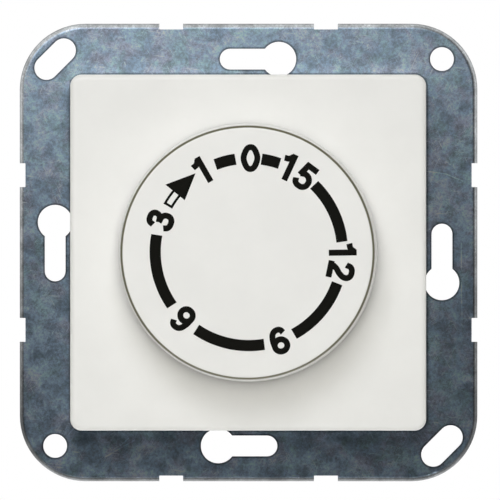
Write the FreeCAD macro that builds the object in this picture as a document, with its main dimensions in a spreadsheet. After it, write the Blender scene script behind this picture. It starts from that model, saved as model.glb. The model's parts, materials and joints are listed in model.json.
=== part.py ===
import FreeCAD, Part
import math
import os
import Sketcher
from FreeCAD import Placement, Rotation, Vector

# A flush-mounted clockwork timer switch for a round wall box.
# Lengths are millimetres. The front of the object faces -Y and +Z is up. The origin is on the knob's axis, in
# the plane of the wall, which the bent-back rim of the support frame touches. A depth is a place along Y.

# Driving sizes: name, value and what it is
SIZES = [
    # support frame
    ("frame_corner", 10.2, "radius of its corners"),
    ("frame_depth", 1.4, "front face to wall plane"),
    ("frame_sheet", 1.0, "thickness of the sheet"),
    ("frame_bend", 0.8, "outer radius of the bent-back rim"),
    ("platform_gap", 0.2, "platform to the hole for it in the frame"),
    ("box_screw_place", 30.0, "box screws lie this far from the axis"),
    ("frame_margin", 5.5, "box screws to the frame's edge"),
    ("corner_hole_radius", 1.85, "round holes in two corners"),
    ("corner_slot_radius", 1.88, "half width of the slots in the other corners"),
    ("corner_slot_reach", 1.9, "slot centre to the centre of its round end"),
    ("key_slot_radius", 1.62, "half width of a keyhole's slot"),
    ("key_slot_reach", 2.85, "keyhole slot end beside the box screw's place"),
    ("key_round_radius", 2.7, "round part of a keyhole"),
    ("key_round_place", 4.7, "its centre beside the box screw's place"),
    ("notch_place", 12.0, "notches in the rim from the middle of a side"),
    ("notch_width", 3.7, "width of a notch"),
    ("notch_depth", 0.9, "depth of a notch"),
    # cover
    ("cover_side", 55.0, "side of the square cover"),
    ("cover_corner", 1.8, "radius of its corners"),
    ("cover_wall", 1.6, "thickness of its skirt"),
    ("cover_top", 2.0, "thickness of its face"),
    ("cover_front", 10.5, "wall plane to the cover's face"),
    ("cover_gap", 0.6, "skirt to frame"),
    ("cover_edge", 0.8, "rounding of the front edge"),
    ("hub_room", 1.0, "knob's hub to its hole in the cover"),
    ("cover_screw_place", 9.5, "cover screws from the axis"),
    ("cover_boss", 3.0, "radius of the cover's two bosses"),
    # knob
    ("knob_base", 19.95, "radius at the cover"),
    ("knob_taper", 0.45, "how much narrower it is just behind the face's edge"),
    ("knob_height", 13.0, "base to face"),
    ("knob_gap", 0.5, "base to cover"),
    ("knob_wall", 1.8, "thickness of its side"),
    ("knob_face", 2.0, "thickness of its face"),
    ("knob_edge", 0.6, "rounding of the face's edge"),
    ("hub_radius", 5.0, "hub inside the knob"),
    ("hub_gap", 0.4, "hub to spindle bush"),
    ("knob_ribs", 6, "ribs between hub and side"),
    ("rib_thick", 1.2, "thickness of a rib"),
    ("rib_depth", 8.0, "height of a rib"),
    ("bore_floor", 1.6, "inside of the face to the end of the bore"),
    # housings
    ("body_radius", 28.0, "round outline of the insert"),
    ("wheel_room", 2.4, "second wheel to the housing's flat side"),
    ("boss_room", 1.2, "screw bosses to the housing's flat top and bottom"),
    ("body_wall", 1.6, "wall of both housings"),
    ("body_floor", 2.0, "front wall and back wall"),
    ("front_depth", 17.0, "depth of the front housing"),
    ("platform_radius", 14.8, "round platform inside the frame's opening"),
    ("platform_front", 7.0, "wall plane to the platform's face"),
    ("platform_wall", 2.0, "wall of the platform"),
    ("joint_screw_x", 4.5, "housing and frame screws, across"),
    ("joint_boss", 2.4, "radius of their bosses"),
    ("escape_room", 0.36, "escape wheel to the nearest boss"),
    # movement
    ("plate_gap", 0.5, "movement plates to the housing's wall"),
    ("plate_boss_gap", 1.0, "movement plates to the screw bosses"),
    ("plate_thick", 1.0, "thickness of a movement plate"),
    ("seat_height", 1.0, "front wall to front plate"),
    ("plate_space", 12.0, "between the two plates"),
    ("pillar_inset", 2.1, "pillars to the plates' straight sides"),
    ("pillar_radius", 1.6, "radius of a pillar"),
    ("pillar_seat", 2.9, "radius of the pads under the plate"),
    ("pad_gap", 0.4, "pads to the housing's wall"),
    ("insulator_thick", 0.8, "thickness of the insulating plate"),
    # spindle
    ("spindle_radius", 3.0, "radius of the spindle"),
    ("spindle_flat", 2.0, "axis to the flats at both ends"),
    ("spindle_chamfer", 0.4, "chamfer at both ends"),
    ("bush_wall", 1.5, "wall of the spindle bush"),
    ("bush_flange", 6.2, "radius of its flange"),
    ("bush_nose", 1.2, "how far it stands out of the platform"),
    ("fit_gap", 0.02, "between parts fixed to each other"),
    ("run_gap", 0.04, "between a shaft and its bearing"),
    # gear train
    ("main_teeth", 48, "teeth of the main wheel"),
    ("main_module", 0.42, "module of the main wheel and the second pinion"),
    ("second_leaves", 8, "leaves of the second pinion"),
    ("second_teeth", 40, "teeth of the second wheel"),
    ("second_module", 0.3, "module of the second wheel and the third pinion"),
    ("third_leaves", 8, "leaves of the third pinion"),
    ("third_teeth", 40, "teeth of the third wheel"),
    ("third_module", 0.28, "module of the third wheel and the escape pinion"),
    ("escape_leaves", 8, "leaves of the escape pinion"),
    ("second_turn", 205.0, "direction of the second arbor from the spindle"),
    ("third_turn", 285.0, "direction of the third arbor from the second"),
    ("escape_turn", 335.0, "direction of the escape arbor from the third"),
    ("anchor_turn", 7.0, "direction of the anchor's arbor from the escape arbor"),
    ("arbor_radius", 0.8, "radius of an arbor"),
    ("pivot_radius", 0.5, "radius of its ends"),
    ("end_shake", 0.3, "arbor's shoulder to plate"),
    ("main_wheel_thick", 1.0, "thickness of the main wheel"),
    ("main_spoke", 3.2, "width of its spokes"),
    ("train_wheel_thick", 0.7, "thickness of the other wheels"),
    ("train_spoke", 1.2, "width of their spokes"),
    ("train_hub", 1.75, "radius of their hubs"),
    ("leaf_overlap", 0.5, "pinion leaves past the wheel that they mesh with"),
    ("second_wheel_gap", 1.1, "second wheel to the rear plate"),
    ("main_wheel_gap", 1.2, "main wheel to the second wheel"),
    ("third_wheel_gap", 2.3, "third wheel to the main wheel"),
    ("escape_wheel_gap", 2.0, "front plate to the escape wheel"),
    ("escape_teeth", 16, "teeth of the escape wheel"),
    ("escape_radius", 4.6, "tip radius of the escape wheel"),
    ("escape_tooth", 1.2, "height of its teeth"),
    ("pallet_gap", 0.12, "pallet to tooth tip with the anchor in the middle"),
    ("pallet_span", 3.5, "tooth spaces between the two pallets"),
    ("pallet_thick", 0.34, "width of a pallet's tip"),
    ("anchor_arm", 1.3, "height of the anchor's arms"),
    ("anchor_hub", 1.7, "radius of the anchor's hub"),
    ("anchor_weight", 6.2, "anchor's arbor to the ends of its two weights"),
    # mainspring and ratchet
    ("spring_strip", 0.3, "thickness of the mainspring's strip"),
    ("spring_front_gap", 1.0, "front plate to the mainspring"),
    ("spring_back_gap", 0.9, "mainspring to the ratchet wheel"),
    ("spring_hub_wall", 1.0, "wall of the hub that the spring winds on"),
    ("spring_hub_gap", 0.1, "hub to the mainspring"),
    ("spring_pitch", 0.92, "space from one turn of the spring to the next"),
    ("spring_half_turns", 9, "half turns of the spring"),
    ("ratchet_teeth", 12, "teeth of the ratchet wheel"),
    ("ratchet_radius", 4.7, "tip radius of the ratchet wheel"),
    ("ratchet_tooth", 0.7, "height of its teeth"),
    ("click_room", 2.5, "ratchet wheel's tips to the click's stud"),
    ("click_hub", 1.2, "radius of the click's hub"),
    ("click_angle", -38.0, "direction of the tooth that the click holds"),
    ("click_slack", 1.5, "angle from that tooth to the click's nose"),
    # stop
    ("knob_travel", 330.0, "full travel of the knob"),
    ("stop_place", 7.5, "stop post from the axis"),
    ("stop_post_radius", 1.0, "radius of the stop post"),
    ("stop_gap", 0.1, "arm to post at either end of the travel"),
    ("stop_arm_end", 1.5, "stop post's axis to the arm's end"),
    ("stop_hub_wall", 1.8, "wall of the arm's hub"),
    ("stop_arm_gap", 0.7, "insulating plate to the stop arm"),
    ("stop_arm_thick", 1.4, "thickness of the stop arm"),
    # contacts
    ("cam_gap", 0.5, "stop arm to the cam"),
    ("cam_track", 3.0, "width of a cam track"),
    ("cam_groove", 0.4, "groove between the two tracks"),
    ("cam_room", 0.38, "cam to the straight part of a blade"),
    ("cam_notch", 1.7, "depth of the notches"),
    ("cam_notch_half", 18.0, "half the angle of a notch"),
    ("blade_thick", 0.4, "thickness of a blade"),
    ("blade_side_gap", 0.2, "blade to either side of its track"),
    ("blade_nose", 1.5, "how far its nose stands in"),
    ("blade_nose_half", 1.1, "half the height of the nose"),
    ("blade_end", 1.1, "contact tip's edge to the blade's free end"),
    ("tip_place", 6.6, "axis to the contact tips, downwards"),
    ("tip_radius", 1.3, "radius of a contact tip"),
    ("tip_thick", 1.0, "thickness of a contact tip"),
    ("contact_gap", 1.1, "open gap between the tips"),
    ("strip_thick", 0.5, "thickness of a fixed contact's strip"),
    ("strip_foot", 2.0, "length of its foot on the terminal"),
    # terminals
    ("terminal_x", 11.5, "terminals, across"),
    ("terminal_room", 0.6, "terminal's corner to the housing's round wall"),
    ("clamp_room", 0.8, "terminal screw's head to the housing's flat wall"),
    ("terminal_width", 7.0, "terminal block, across"),
    ("terminal_height", 8.0, "terminal block, up and down"),
    ("terminal_length", 8.0, "terminal block, front to back"),
    ("terminal_gap", 1.5, "pillar screws' heads to the terminal blocks"),
    ("terminal_seat", 2.5, "height of the seats behind the terminals"),
    ("wire_bore", 1.7, "radius of the hole for a wire"),
    ("wire_depth", 6.5, "depth of that hole"),
    ("wire_entry", 2.95, "radius of the hole in the back cover, for a wire with its insulation"),
    ("wire_funnel", 3.7, "radius of its funnel mouth"),
    ("clamp_inset", 3.9, "mouth of the wire's hole to the terminal screw's axis"),
    ("clamp_radius", 1.75, "radius of a terminal screw"),
    ("clamp_head", 2.6, "radius of its head"),
    ("clamp_height", 2.0, "height of its head"),
    ("clamp_slot", 0.8, "width of the slot in it"),
    ("clamp_access", 0.34, "head to its hole in the housing"),
    # small screws
    ("screw_radius", 1.05, "shank of a small screw"),
    ("screw_head", 2.3, "radius of its head"),
    ("head_height", 1.2, "height of its head"),
    ("drive_slot", 0.6, "width of the slot in a head"),
    ("slot_depth", 0.4, "depth of that slot"),
    ("screw_room", 0.1, "shank to a clearance hole"),
    ("head_room", 0.1, "head to its counterbore"),
    ("head_sink", 0.24, "how deep a head lies in its counterbore"),
    ("sunk_head", 2.0, "radius of a countersunk head"),
    ("thread_bite", 4.0, "length of a small screw in its hole"),
    ("thread_room", 0.4, "hole past the screw's end"),
]

# Tooth shapes: widths are shares of the tooth spacing, heights are shares of the module
WHEEL_TOOTH = {"width": 0.44, "tip_width": 0.12, "addendum": 1.1, "dedendum": 1.25}
PINION_LEAF = {"width": 0.36, "tip_width": 0.12, "addendum": 0.7, "dedendum": 1.4}
SHOULDER_HEIGHT = 0.6  # of the addendum, where a tooth's tip starts to narrow more
SHOULDER_WIDTH = 0.72  # of the way from the tip's width to the tooth's

doc = FreeCAD.newDocument("timer_switch")
sheet = doc.addObject("Spreadsheet::Sheet", "Sizes")
for row, (alias, value, meaning) in enumerate(SIZES, start=1):
    sheet.set(f"A{row}", meaning)
    sheet.set(f"B{row}", str(value))
    sheet.setAlias(f"B{row}", alias)
doc.recompute()


class Size:
    """A number that remembers its formula, so that one name both sets a property and binds it."""

    def __init__(self, value, text=None):
        self.value = float(value)
        self.text = text if text is not None else f"({float(value)})"

    def __float__(self):
        return self.value

    def __add__(self, other):
        other = as_size(other)
        return Size(self.value + other.value, f"({self.text} + {other.text})")

    def __sub__(self, other):
        other = as_size(other)
        return Size(self.value - other.value, f"({self.text} - {other.text})")

    def __mul__(self, other):
        other = as_size(other)
        return Size(self.value * other.value, f"({self.text} * {other.text})")

    def __truediv__(self, other):
        other = as_size(other)
        return Size(self.value / other.value, f"({self.text} / {other.text})")

    def __radd__(self, other):
        return as_size(other) + self

    def __rsub__(self, other):
        return as_size(other) - self

    def __rmul__(self, other):
        return as_size(other) * self

    def __neg__(self):
        return Size(-self.value, f"(-1 * {self.text})")


def as_size(number):
    return number if isinstance(number, Size) else Size(number)


def cosine(angle):
    return Size(math.cos(math.radians(angle.value)), f"cos({angle.text})")


def sine(angle):
    return Size(math.sin(math.radians(angle.value)), f"sin({angle.text})")


def side_left(long_side, short_side):
    """The other short side of a right triangle."""
    left = math.sqrt(long_side.value ** 2 - short_side.value ** 2)
    return Size(left, f"sqrt({long_side.text} ^ 2 - {short_side.text} ^ 2)")


def smaller(first, second):
    return Size(min(first.value, second.value), f"min({first.text}; {second.text})")


class Names:
    """The sheet's names, read as sizes."""

    def __getattr__(self, alias):
        return Size(sheet.get(alias), f"Sizes.{alias}")


s = Names()
ALONG_Y = Rotation(Vector(1, 0, 0), -90)
PARTS = []


def bind(thing, prop, size):
    """Tie a property to the formula of a size."""
    thing.setExpression(prop, as_size(size).text)


def part(label, thing):
    """Give a finished sub-part its own label and put it on the list of pieces."""
    thing.Label = label
    PARTS.append(thing)
    return thing


# Primitives and booleans


def cylinder(name, radius, front, back, x=0, z=0):
    """A round bar along Y between two depths."""
    bar = doc.addObject("Part::Cylinder", name)
    bind(bar, "Radius", radius)
    bind(bar, "Height", back - front)
    bar.Placement = Placement(Vector(), ALONG_Y)
    bind(bar, "Placement.Base.x", x)
    bind(bar, "Placement.Base.y", front)
    bind(bar, "Placement.Base.z", z)
    return bar


def upright(name, radius, low, high, x, y):
    """A round bar along Z between two heights."""
    bar = doc.addObject("Part::Cylinder", name)
    bind(bar, "Radius", radius)
    bind(bar, "Height", high - low)
    bind(bar, "Placement.Base.x", x)
    bind(bar, "Placement.Base.y", y)
    bind(bar, "Placement.Base.z", low)
    return bar


def funnel(name, front_radius, back_radius, front, back, x, z):
    """A cone along Y between two depths."""
    cone = doc.addObject("Part::Cone", name)
    bind(cone, "Radius1", front_radius)
    bind(cone, "Radius2", back_radius)
    bind(cone, "Height", back - front)
    cone.Placement = Placement(Vector(), ALONG_Y)
    bind(cone, "Placement.Base.x", x)
    bind(cone, "Placement.Base.y", front)
    bind(cone, "Placement.Base.z", z)
    return cone


def block(name, x_span, y_span, z_span):
    """A box between two places along each axis."""
    box = doc.addObject("Part::Box", name)
    for prop, axis, (low, high) in zip(("Length", "Width", "Height"), "xyz", (x_span, y_span, z_span)):
        bind(box, prop, high - low)
        bind(box, f"Placement.Base.{axis}", low)
    return box


def middle(centre, width):
    """The two ends of a span about its centre."""
    return centre - width / 2, centre + width / 2


def fuse(name, pieces):
    joined = doc.addObject("Part::MultiFuse", name)
    joined.Shapes = pieces
    return joined


def common(name, pieces):
    shared = doc.addObject("Part::MultiCommon", name)
    shared.Shapes = pieces
    return shared


def cut(name, base, tools):
    left = doc.addObject("Part::Cut", name)
    left.Base = base
    left.Tool = tools[0] if len(tools) == 1 else fuse(name + "_tools", tools)
    return left


def stack(name, steps, x, z):
    """A turned piece of coaxial steps, each a radius and two depths."""
    bars = [cylinder(f"{name}_{n}", r, a, b, x, z) for n, (r, a, b) in enumerate(steps)]
    return bars[0] if len(bars) == 1 else fuse(name, bars)


def corners(x, z):
    """Four places, one in each corner."""
    return [(x, z), (-x, z), (-x, -z), (x, -z)]


def group(label, members):
    """Identical pieces that share a node and stay separate solids."""
    whole = doc.addObject("Part::Compound", label)
    whole.Links = members
    return part(label, whole)


def screws(label, places, head, shank):
    """Slotted screws along Y. head and shank are a radius and the depths of front and back."""
    members = []
    slot_span = (head[1], head[1] + s.slot_depth)
    if float(shank[1]) < float(head[1]):
        slot_span = (head[2] - s.slot_depth, head[2])
    for n, (x, z) in enumerate(places):
        name = f"{label}_{n}"
        solid = stack(name + "_body", [head, shank], x, z)
        drive = block(name + "_slot", middle(as_size(x), s.drive_slot), slot_span, middle(z, head[0] * 2))
        members.append(cut(name, solid, [drive]))
    return group(label, members)


def sunk_screws(label, places, front, end):
    """Countersunk screws along Y whose heads are flush with a front face."""
    members = []
    cone_end = front + (s.sunk_head - s.screw_radius)
    for n, (x, z) in enumerate(places):
        name = f"{label}_{n}"
        solid = fuse(name + "_body", [
            funnel(name + "_head", s.sunk_head, s.screw_radius, front, cone_end, x, z),
            cylinder(name + "_shank", s.screw_radius, cone_end, end, x, z),
        ])
        drive = block(name + "_slot", middle(as_size(x), s.drive_slot), (front, front + s.slot_depth),
                      middle(z, s.sunk_head * 2))
        members.append(cut(name, solid, [drive]))
    return group(label, members)


# Bodies and sketches


def body(label):
    return part(label, doc.addObject("PartDesign::Body", label))


def origin_part(owner, role):
    return next(f for f in owner.Origin.OriginFeatures if f.Role == role)


def sketch(owner, name, depth):
    """A sketch that faces the front, at a depth. Its own x is X and its own y is Z."""
    made = owner.newObject("Sketcher::SketchObject", name)
    made.AttachmentSupport = [(origin_part(owner, "XZ_Plane"), "")]
    made.MapMode = "FlatFace"
    bind(made, "AttachmentOffset.Base.z", -as_size(depth))
    return made


def dimension(drawing, kind, *where):
    """Add one constraint whose size is bound to its formula."""
    size = as_size(where[-1])
    index = drawing.addConstraint(Sketcher.Constraint(kind, *where[:-1], size.value))
    drawing.setExpression(f"Constraints[{index}]", size.text)


def pin_point(drawing, geometry, end, x, y):
    dimension(drawing, "DistanceX", -1, 1, geometry, end, x)
    dimension(drawing, "DistanceY", -1, 1, geometry, end, y)


def circle(drawing, radius, x=0, y=0):
    centre = Vector(float(x), float(y), 0)
    g = drawing.addGeometry(Part.Circle(centre, Vector(0, 0, 1), float(radius)), False)
    dimension(drawing, "Radius", g, radius)
    pin_point(drawing, g, 3, x, y)


def polygon(drawing, points):
    """A closed outline of straight lines through points."""
    ends = [Vector(float(x), float(y), 0) for x, y in points]
    lines = [
        drawing.addGeometry(Part.LineSegment(a, b), False) for a, b in zip(ends, ends[1:] + ends[:1])
    ]
    for n, line in enumerate(lines):
        following = lines[(n + 1) % len(lines)]
        drawing.addConstraint(Sketcher.Constraint("Coincident", line, 2, following, 1))
    for line, (x, y) in zip(lines, points):
        pin_point(drawing, line, 1, x, y)


def rectangle(drawing, x_span, y_span):
    (left, right), (low, high) = x_span, y_span
    polygon(drawing, [(left, low), (right, low), (right, high), (left, high)])


def rounded(drawing, arcs, radii):
    """An outline of arcs joined by tangent lines. Each arc is a centre and its first and last angle."""
    drawn = []
    for (x, y, first, last), radius in zip(arcs, radii):
        ring = Part.Circle(Vector(float(x), float(y), 0), Vector(0, 0, 1), float(radius))
        arc = Part.ArcOfCircle(ring, math.radians(first), math.radians(last))
        drawn.append((drawing.addGeometry(arc, False), arc))
    for n, (g, arc) in enumerate(drawn):
        next_g, next_arc = drawn[(n + 1) % len(drawn)]
        line = drawing.addGeometry(Part.LineSegment(arc.EndPoint, next_arc.StartPoint), False)
        drawing.addConstraint(Sketcher.Constraint("Tangent", g, 2, line, 1))
        drawing.addConstraint(Sketcher.Constraint("Tangent", line, 2, next_g, 1))
    for (g, _), (x, y, _, _), radius in zip(drawn, arcs, radii):
        dimension(drawing, "Radius", g, radius)
        pin_point(drawing, g, 3, x, y)


def rounded_square(drawing, width, height, corner):
    x = width / 2 - corner
    y = height / 2 - corner
    arcs = [(x, y, 0, 90), (-x, y, 90, 180), (-x, -y, 180, 270), (x, -y, 270, 360)]
    rounded(drawing, arcs, [corner] * 4)


def slot(drawing, start, end, radius):
    """A long hole between two centres."""
    (ax, ay), (bx, by) = start, end
    lie = math.degrees(math.atan2(float(by) - float(ay), float(bx) - float(ax)))
    arcs = [(bx, by, lie - 90, lie + 90), (ax, ay, lie + 90, lie + 270)]
    rounded(drawing, arcs, [radius] * 2)


def d_outline(drawing, radius, flat):
    """A circle cut off by a flat at the top."""
    tilt = math.asin(float(flat) / float(radius))
    ring = Part.Circle(Vector(), Vector(0, 0, 1), float(radius))
    arc = Part.ArcOfCircle(ring, math.pi - tilt, 2 * math.pi + tilt)
    g = drawing.addGeometry(arc, False)
    line = drawing.addGeometry(Part.LineSegment(arc.EndPoint, arc.StartPoint), False)
    drawing.addConstraint(Sketcher.Constraint("Coincident", g, 3, -1, 1))
    drawing.addConstraint(Sketcher.Constraint("Coincident", g, 2, line, 1))
    drawing.addConstraint(Sketcher.Constraint("Coincident", line, 2, g, 1))
    drawing.addConstraint(Sketcher.Constraint("Horizontal", line))
    dimension(drawing, "Radius", g, radius)
    dimension(drawing, "DistanceY", -1, 1, line, 1, flat)


def feature(owner, kind, name, drawing, length=None):
    made = owner.newObject("PartDesign::" + kind, name)
    made.Profile = drawing
    if length is None:
        made.Type = 1
    else:
        bind(made, "Length", length)
    return made


def pad(owner, name, front, back, draw):
    """Add material between two depths. draw fills in the sketch."""
    drawing = sketch(owner, name + "_sketch", back)
    draw(drawing)
    return feature(owner, "Pad", name, drawing, back - front)


def pocket(owner, name, front, draw, length=None):
    """Cut backwards from a depth, for a length or right through, and see that it cut something."""
    doc.recompute()
    before = owner.Shape.Volume
    drawing = sketch(owner, name + "_sketch", front)
    draw(drawing)
    made = feature(owner, "Pocket", name, drawing, length)
    doc.recompute()
    if not owner.Shape.Volume < before - 1e-6:
        raise RuntimeError(f"{name} cuts nothing")
    return made


def around_axis(owner, name, originals, count):
    """Repeat features about the knob's axis."""
    doc.recompute()
    pattern = owner.newObject("PartDesign::PolarPattern", name)
    pattern.Originals = originals
    pattern.Axis = (origin_part(owner, "Y_Axis"), [""])
    pattern.Angle = 360
    bind(pattern, "Occurrences", count)
    owner.Tip = pattern
    doc.recompute()
    return pattern


def turned(label, points, x=0, z=0):
    """A lathe-turned piece. points are pairs of a radius and a depth, round the half section."""
    owner = body(label)
    drawing = owner.newObject("Sketcher::SketchObject", label + "_section")
    drawing.AttachmentSupport = [(origin_part(owner, "XY_Plane"), "")]
    drawing.MapMode = "FlatFace"
    polygon(drawing, points)
    made = owner.newObject("PartDesign::Revolution", label + "_turning")
    made.Profile = drawing
    made.ReferenceAxis = (origin_part(owner, "Y_Axis"), [""])
    made.Angle = 360
    bind(owner, "Placement.Base.x", x)
    bind(owner, "Placement.Base.z", z)
    return owner


def round_edges(owner, name, size, wanted, kind="Fillet"):
    """Fillet, or chamfer, the edges of the body that pass a test."""
    doc.recompute()
    base = owner.Tip
    names = [f"Edge{n}" for n, edge in enumerate(base.Shape.Edges, start=1) if wanted(edge)]
    made = owner.newObject("PartDesign::" + kind, name)
    made.Base = (base, names)
    bind(made, "Radius" if kind == "Fillet" else "Size", size)
    doc.recompute()
    return made


def lies_at(edge, depth):
    """True for an edge that stays at one depth."""
    box = edge.BoundBox
    return abs(box.YMin - float(depth)) < 1e-4 and abs(box.YMax - float(depth)) < 1e-4


# Radii and depths that several pieces share
frame_half = s.box_screw_place + s.frame_margin
bush_radius = s.spindle_radius + s.bush_wall
spring_hub_radius = s.spindle_radius + s.spring_hub_wall
frame_front = -s.frame_depth
frame_back = frame_front + s.frame_sheet
cover_face = -s.cover_front
cover_inside = cover_face + s.cover_top
cover_rim = frame_front - s.cover_gap
cover_screw_seat = cover_face + s.head_height + s.head_sink
platform_face = -s.platform_front
platform_inside = platform_face + s.platform_wall
knob_base_at = cover_face - s.knob_gap
knob_face_at = knob_base_at - s.knob_height
knob_inside = knob_face_at + s.knob_face
knob_bore_end = knob_inside + s.bore_floor
bush_end = platform_face - s.bush_nose
hub_end = bush_end - s.hub_gap
wall_inside = frame_back + s.body_floor
movement_screw_seat = frame_back + s.head_height + s.head_sink
front_plate_at = wall_inside + s.seat_height
front_plate_back = front_plate_at + s.plate_thick
rear_plate_at = front_plate_back + s.plate_space
rear_plate_back = rear_plate_at + s.plate_thick
insulator_back = rear_plate_back + s.insulator_thick
housing_split = frame_back + s.front_depth
second_wheel_at = rear_plate_at - s.second_wheel_gap - s.train_wheel_thick
main_wheel_at = second_wheel_at - s.main_wheel_gap - s.main_wheel_thick
third_wheel_at = main_wheel_at - s.third_wheel_gap - s.train_wheel_thick
escape_wheel_at = front_plate_back + s.escape_wheel_gap
ratchet_at = main_wheel_at - s.stop_gap - s.main_wheel_thick
spring_at = front_plate_back + s.spring_front_gap
spring_back = ratchet_at - s.spring_back_gap
stop_arm_at = insulator_back + s.stop_arm_gap
cam_at = stop_arm_at + s.stop_arm_thick + s.cam_gap
cam_back = cam_at + s.cam_track * 2 + s.cam_groove
terminal_at = insulator_back + s.head_height + s.terminal_gap
terminal_back = terminal_at + s.terminal_length
clamp_at = terminal_back - s.clamp_inset
body_inside_back = terminal_back + s.terminal_seat
body_back = body_inside_back + s.body_floor
housing_screw_seat = body_back - s.head_height - s.head_sink

# Places of the arbors
second_centres = s.main_module * (s.main_teeth + s.second_leaves) / 2
third_centres = s.second_module * (s.second_teeth + s.third_leaves) / 2
escape_centres = s.third_module * (s.third_teeth + s.escape_leaves) / 2
pallet_half_angle = s.pallet_span * 180 / s.escape_teeth
anchor_centres = s.escape_radius / cosine(Size(45.0))
second_at = (second_centres * cosine(s.second_turn), second_centres * sine(s.second_turn))
third_at = (
    second_at[0] + third_centres * cosine(s.third_turn),
    second_at[1] + third_centres * sine(s.third_turn),
)
escape_at = (
    third_at[0] + escape_centres * cosine(s.escape_turn),
    third_at[1] + escape_centres * sine(s.escape_turn),
)
anchor_at = (
    escape_at[0] + anchor_centres * cosine(s.anchor_turn),
    escape_at[1] + anchor_centres * sine(s.anchor_turn),
)

# The screw bosses lie just past the escape wheel, and the housing's flats lie just past bosses and wheels.
boss_reach = s.escape_radius + s.joint_boss + s.escape_room
joint_screw_z = side_left(boss_reach, s.joint_screw_x + escape_at[0]) - escape_at[1]
second_wheel_reach = s.second_module * (s.second_teeth / 2 + WHEEL_TOOTH["addendum"]) - second_at[0]
half_width = second_wheel_reach + s.wheel_room + s.body_wall
half_height = joint_screw_z + s.joint_boss + s.boss_room
inner_radius = s.body_radius - s.body_wall
inner_half_width = half_width - s.body_wall
inner_half_height = half_height - s.body_wall
plate_radius = inner_radius - s.plate_gap
plate_half_width = inner_half_width - s.plate_gap
plate_half_height = joint_screw_z - s.joint_boss - s.plate_boss_gap
pillar_x = plate_half_width - s.pillar_inset
pillar_z = smaller(
    side_left(inner_radius - s.pad_gap - s.pillar_seat, pillar_x),
    plate_half_height - s.pillar_inset,
)
terminal_top = smaller(
    side_left(inner_radius - s.terminal_room, s.terminal_x + s.terminal_width / 2),
    inner_half_height - s.clamp_room - s.clamp_height - s.stop_gap,
)
terminal_z = terminal_top - s.terminal_height / 2
blade_back = s.terminal_x - s.terminal_width / 2 - s.fit_gap
blade_face = blade_back - s.blade_thick
cam_radius = blade_face - s.cam_room
joint_screws = corners(s.joint_screw_x, joint_screw_z)
pillars = corners(pillar_x, pillar_z)
cover_screws = [(s.cover_screw_place, Size(0)), (-s.cover_screw_place, Size(0))]
terminals = corners(s.terminal_x, terminal_z)


def make_support_frame():
    """Pressed steel frame: a tray whose rim touches the wall."""
    frame = body("support_frame")
    pad(frame, "frame_blank", frame_front, Size(0),
        lambda d: rounded_square(d, frame_half * 2, frame_half * 2, s.frame_corner))
    round_edges(frame, "frame_rounding", s.frame_bend, lambda edge: lies_at(edge, frame_front))
    inner = (frame_half - s.frame_sheet) * 2
    pocket(frame, "frame_tray", frame_back,
           lambda d: rounded_square(d, inner, inner, s.frame_corner - s.frame_sheet),
           s.frame_depth - s.frame_sheet)
    pocket(frame, "platform_opening", frame_front,
           lambda d: circle(d, s.platform_radius + s.platform_gap))
    place = s.box_screw_place
    reach = s.corner_slot_reach * sine(Size(45.0))

    def corner_holes(d):
        circle(d, s.corner_hole_radius, place, place)
        circle(d, s.corner_hole_radius, -place, -place)
        for x, z in ((-place, place), (place, -place)):
            slot(d, (x - reach, z - reach), (x + reach, z + reach), s.corner_slot_radius)

    pocket(frame, "corner_holes", frame_front, corner_holes)
    rounds = pocket(frame, "keyhole_round", frame_front,
                    lambda d: circle(d, s.key_round_radius, s.key_round_place, place))
    slots = pocket(frame, "keyhole_slot", frame_front,
                   lambda d: slot(d, (-s.key_slot_reach, place), (s.key_round_place, place),
                                  s.key_slot_radius))
    around_axis(frame, "keyholes", [rounds, slots], Size(4))

    def notches(d):
        for x in (-s.notch_place, s.notch_place):
            rectangle(d, middle(x, s.notch_width), (frame_half - s.notch_depth, frame_half + s.notch_depth))

    notch = pocket(frame, "rim_notch", frame_front - s.frame_sheet, notches)
    around_axis(frame, "rim_notches", [notch], Size(4))

    def screw_holes(d):
        for x, z in joint_screws:
            circle(d, s.screw_radius + s.screw_room, x, z)

    pocket(frame, "frame_screw_holes", frame_front, screw_holes)

    def at_screw(edge):
        middle_of = edge.BoundBox.Center
        return lies_at(edge, frame_front) and any(
            math.hypot(middle_of.x - x.value, middle_of.z - z.value) < s.screw_room.value
            for x, z in joint_screws)

    round_edges(frame, "countersinks", s.sunk_head - s.screw_radius, at_screw, "Chamfer")


def make_cover_plate():
    """Square moulded cover, open at the back, screwed to the platform under the knob."""
    cover = body("cover_plate")
    pad(cover, "cover_blank", cover_face, cover_rim,
        lambda d: rounded_square(d, s.cover_side, s.cover_side, s.cover_corner))
    round_edges(cover, "cover_rounding", s.cover_edge, lambda edge: lies_at(edge, cover_face))
    inner = s.cover_side - s.cover_wall * 2
    pocket(cover, "cover_hollow", cover_inside,
           lambda d: rounded_square(d, inner, inner, s.cover_corner / 2), cover_rim - cover_inside)

    def at_screws(radius):
        def draw(d):
            for x, z in cover_screws:
                circle(d, radius, x, z)
        return draw

    pad(cover, "cover_bosses", cover_inside, platform_face, at_screws(s.cover_boss))
    pocket(cover, "cover_bore", cover_face, lambda d: circle(d, s.hub_radius + s.hub_room))
    pocket(cover, "cover_screw_heads", cover_face, at_screws(s.screw_head + s.head_room),
           cover_screw_seat - cover_face)
    pocket(cover, "cover_screw_holes", cover_face, at_screws(s.screw_radius + s.screw_room))


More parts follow.
